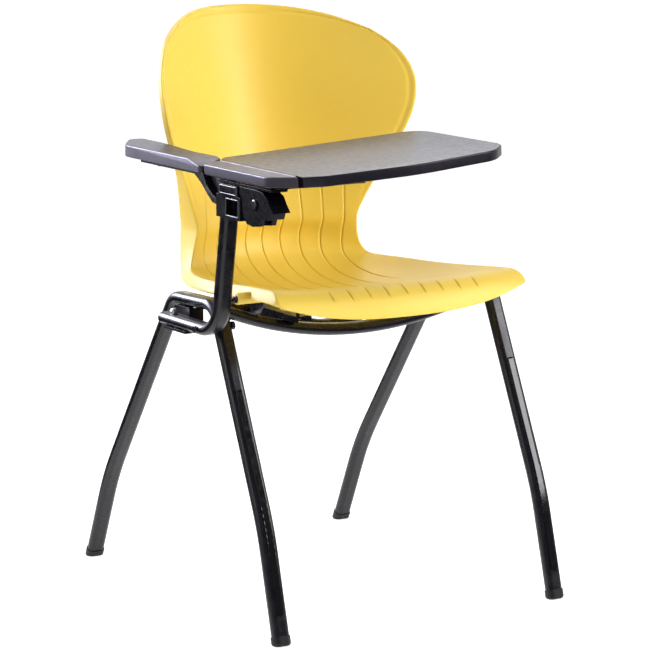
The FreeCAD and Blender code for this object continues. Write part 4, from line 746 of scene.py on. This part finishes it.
def lamps():
    """Key, fill and sheen from the front, panels behind and beside, and cards that keep blacks black."""
    key = area_light("key", (1.6, -2.4, 1.95), (0.0, 0.1, 0.6), (1.6, 1.6), 16.5, spread=70)
    key.visible_glossy = False
    fill = area_light("front_fill", (2.6, -2.2, 0.55), (-0.05, 0.0, 0.50), (1.6, 0.9), 8, spread=70)
    fill.visible_glossy = False
    sheen = area_light("sheen", (2.3, -1.9, 1.75), (0.0, 0.1, 0.6), (1.5, 1.5), 65)
    sheen.visible_diffuse = False
    area_light("rear_left_panel", (-1.0, 1.35, 1.35), (-0.10, 0.0, 0.55), (1.5, 1.2), 24, (0.84, 0.86, 1.0))
    glint = area_light("rear_left_glint", (-1.1, 1.45, 1.30), (-0.20, 0.0, 0.60), (1.3, 1.0), 95,
                       (0.80, 0.83, 1.0))
    glint.visible_diffuse = False
    area_light("rear_top", (1.5, 2.2, 2.3), (0.0, -0.1, 0.5), (1.4, 1.4), 21, (0.93, 0.94, 1.0))
    area_light("left_fill", (-2.6, -0.6, 1.5), (0.0, 0.0, 0.5), (1.2, 1.2), 12)
    dark_card("dark_card_left", -5.5, -0.62, -2.0, 4.2)
    dark_card("dark_card_right", 0.56, 5.5, -3.6, 1.2)


def dark_card(name, left, right, near, far):
    """A black card on the floor beside the view, which only mirrors in the black parts' gloss."""
    mesh = bpy.data.meshes.new(name)
    across, ahead = Vector((0.851, -0.525, 0)), Vector((0.525, 0.851, 0))
    raised = Vector((0, 0, 0.001))
    corners = [across * a + ahead * b + raised
               for a, b in ((left, near), (right, near), (right, far), (left, far))]
    mesh.from_pydata(corners, [], [(0, 1, 2, 3)])
    card = bpy.data.objects.new(name, mesh)
    card.visible_camera = card.visible_diffuse = card.visible_shadow = False
    bpy.context.scene.collection.objects.link(card)
    black = bpy.data.materials.new(name)
    black.use_nodes = True
    shader = black.node_tree.nodes["Principled BSDF"]
    shader.inputs["Base Color"].default_value = (0.01, 0.01, 0.01, 1)
    shader.inputs["Specular IOR Level"].default_value = 0.0
    mesh.materials.append(black)


def photo_camera():
    """The view from the front on the armrest's side, from above and looking slightly down."""
    data = bpy.data.cameras.new("view")
    data.sensor_width = 36
    data.lens = 165.27
    data.shift_x = 0.01304
    data.clip_start, data.clip_end = 0.05, 200
    camera = bpy.data.objects.new("view", data)
    camera.location = (-2.14399, -3.4591, 1.1047)
    camera.rotation_euler = (math.radians(90 - 10.212), 0, math.radians(-31.668))
    bpy.context.scene.collection.objects.link(camera)
    bpy.context.scene.camera = camera


dress_cad_nodes()
for soft_node, (edge_width, finish) in SOFT_EDGES.items():
    softened(soft_node, edge_width, finish)
shell_piece()
shell_lugs()
side_screws()
housing_rims()
for frame_side, hand in (("left", -1), ("right", 1)):
    strip_lip(frame_side, hand)
    for bar_name in ("front_crossbar", "rear_crossbar"):
        weld(f"{bar_name}_{frame_side}_weld", bar_name, f"{frame_side}_side_frame")
paper_floor()
surroundings()
lamps()
photo_camera()
bpy.context.scene.view_settings.view_transform = "Standard"
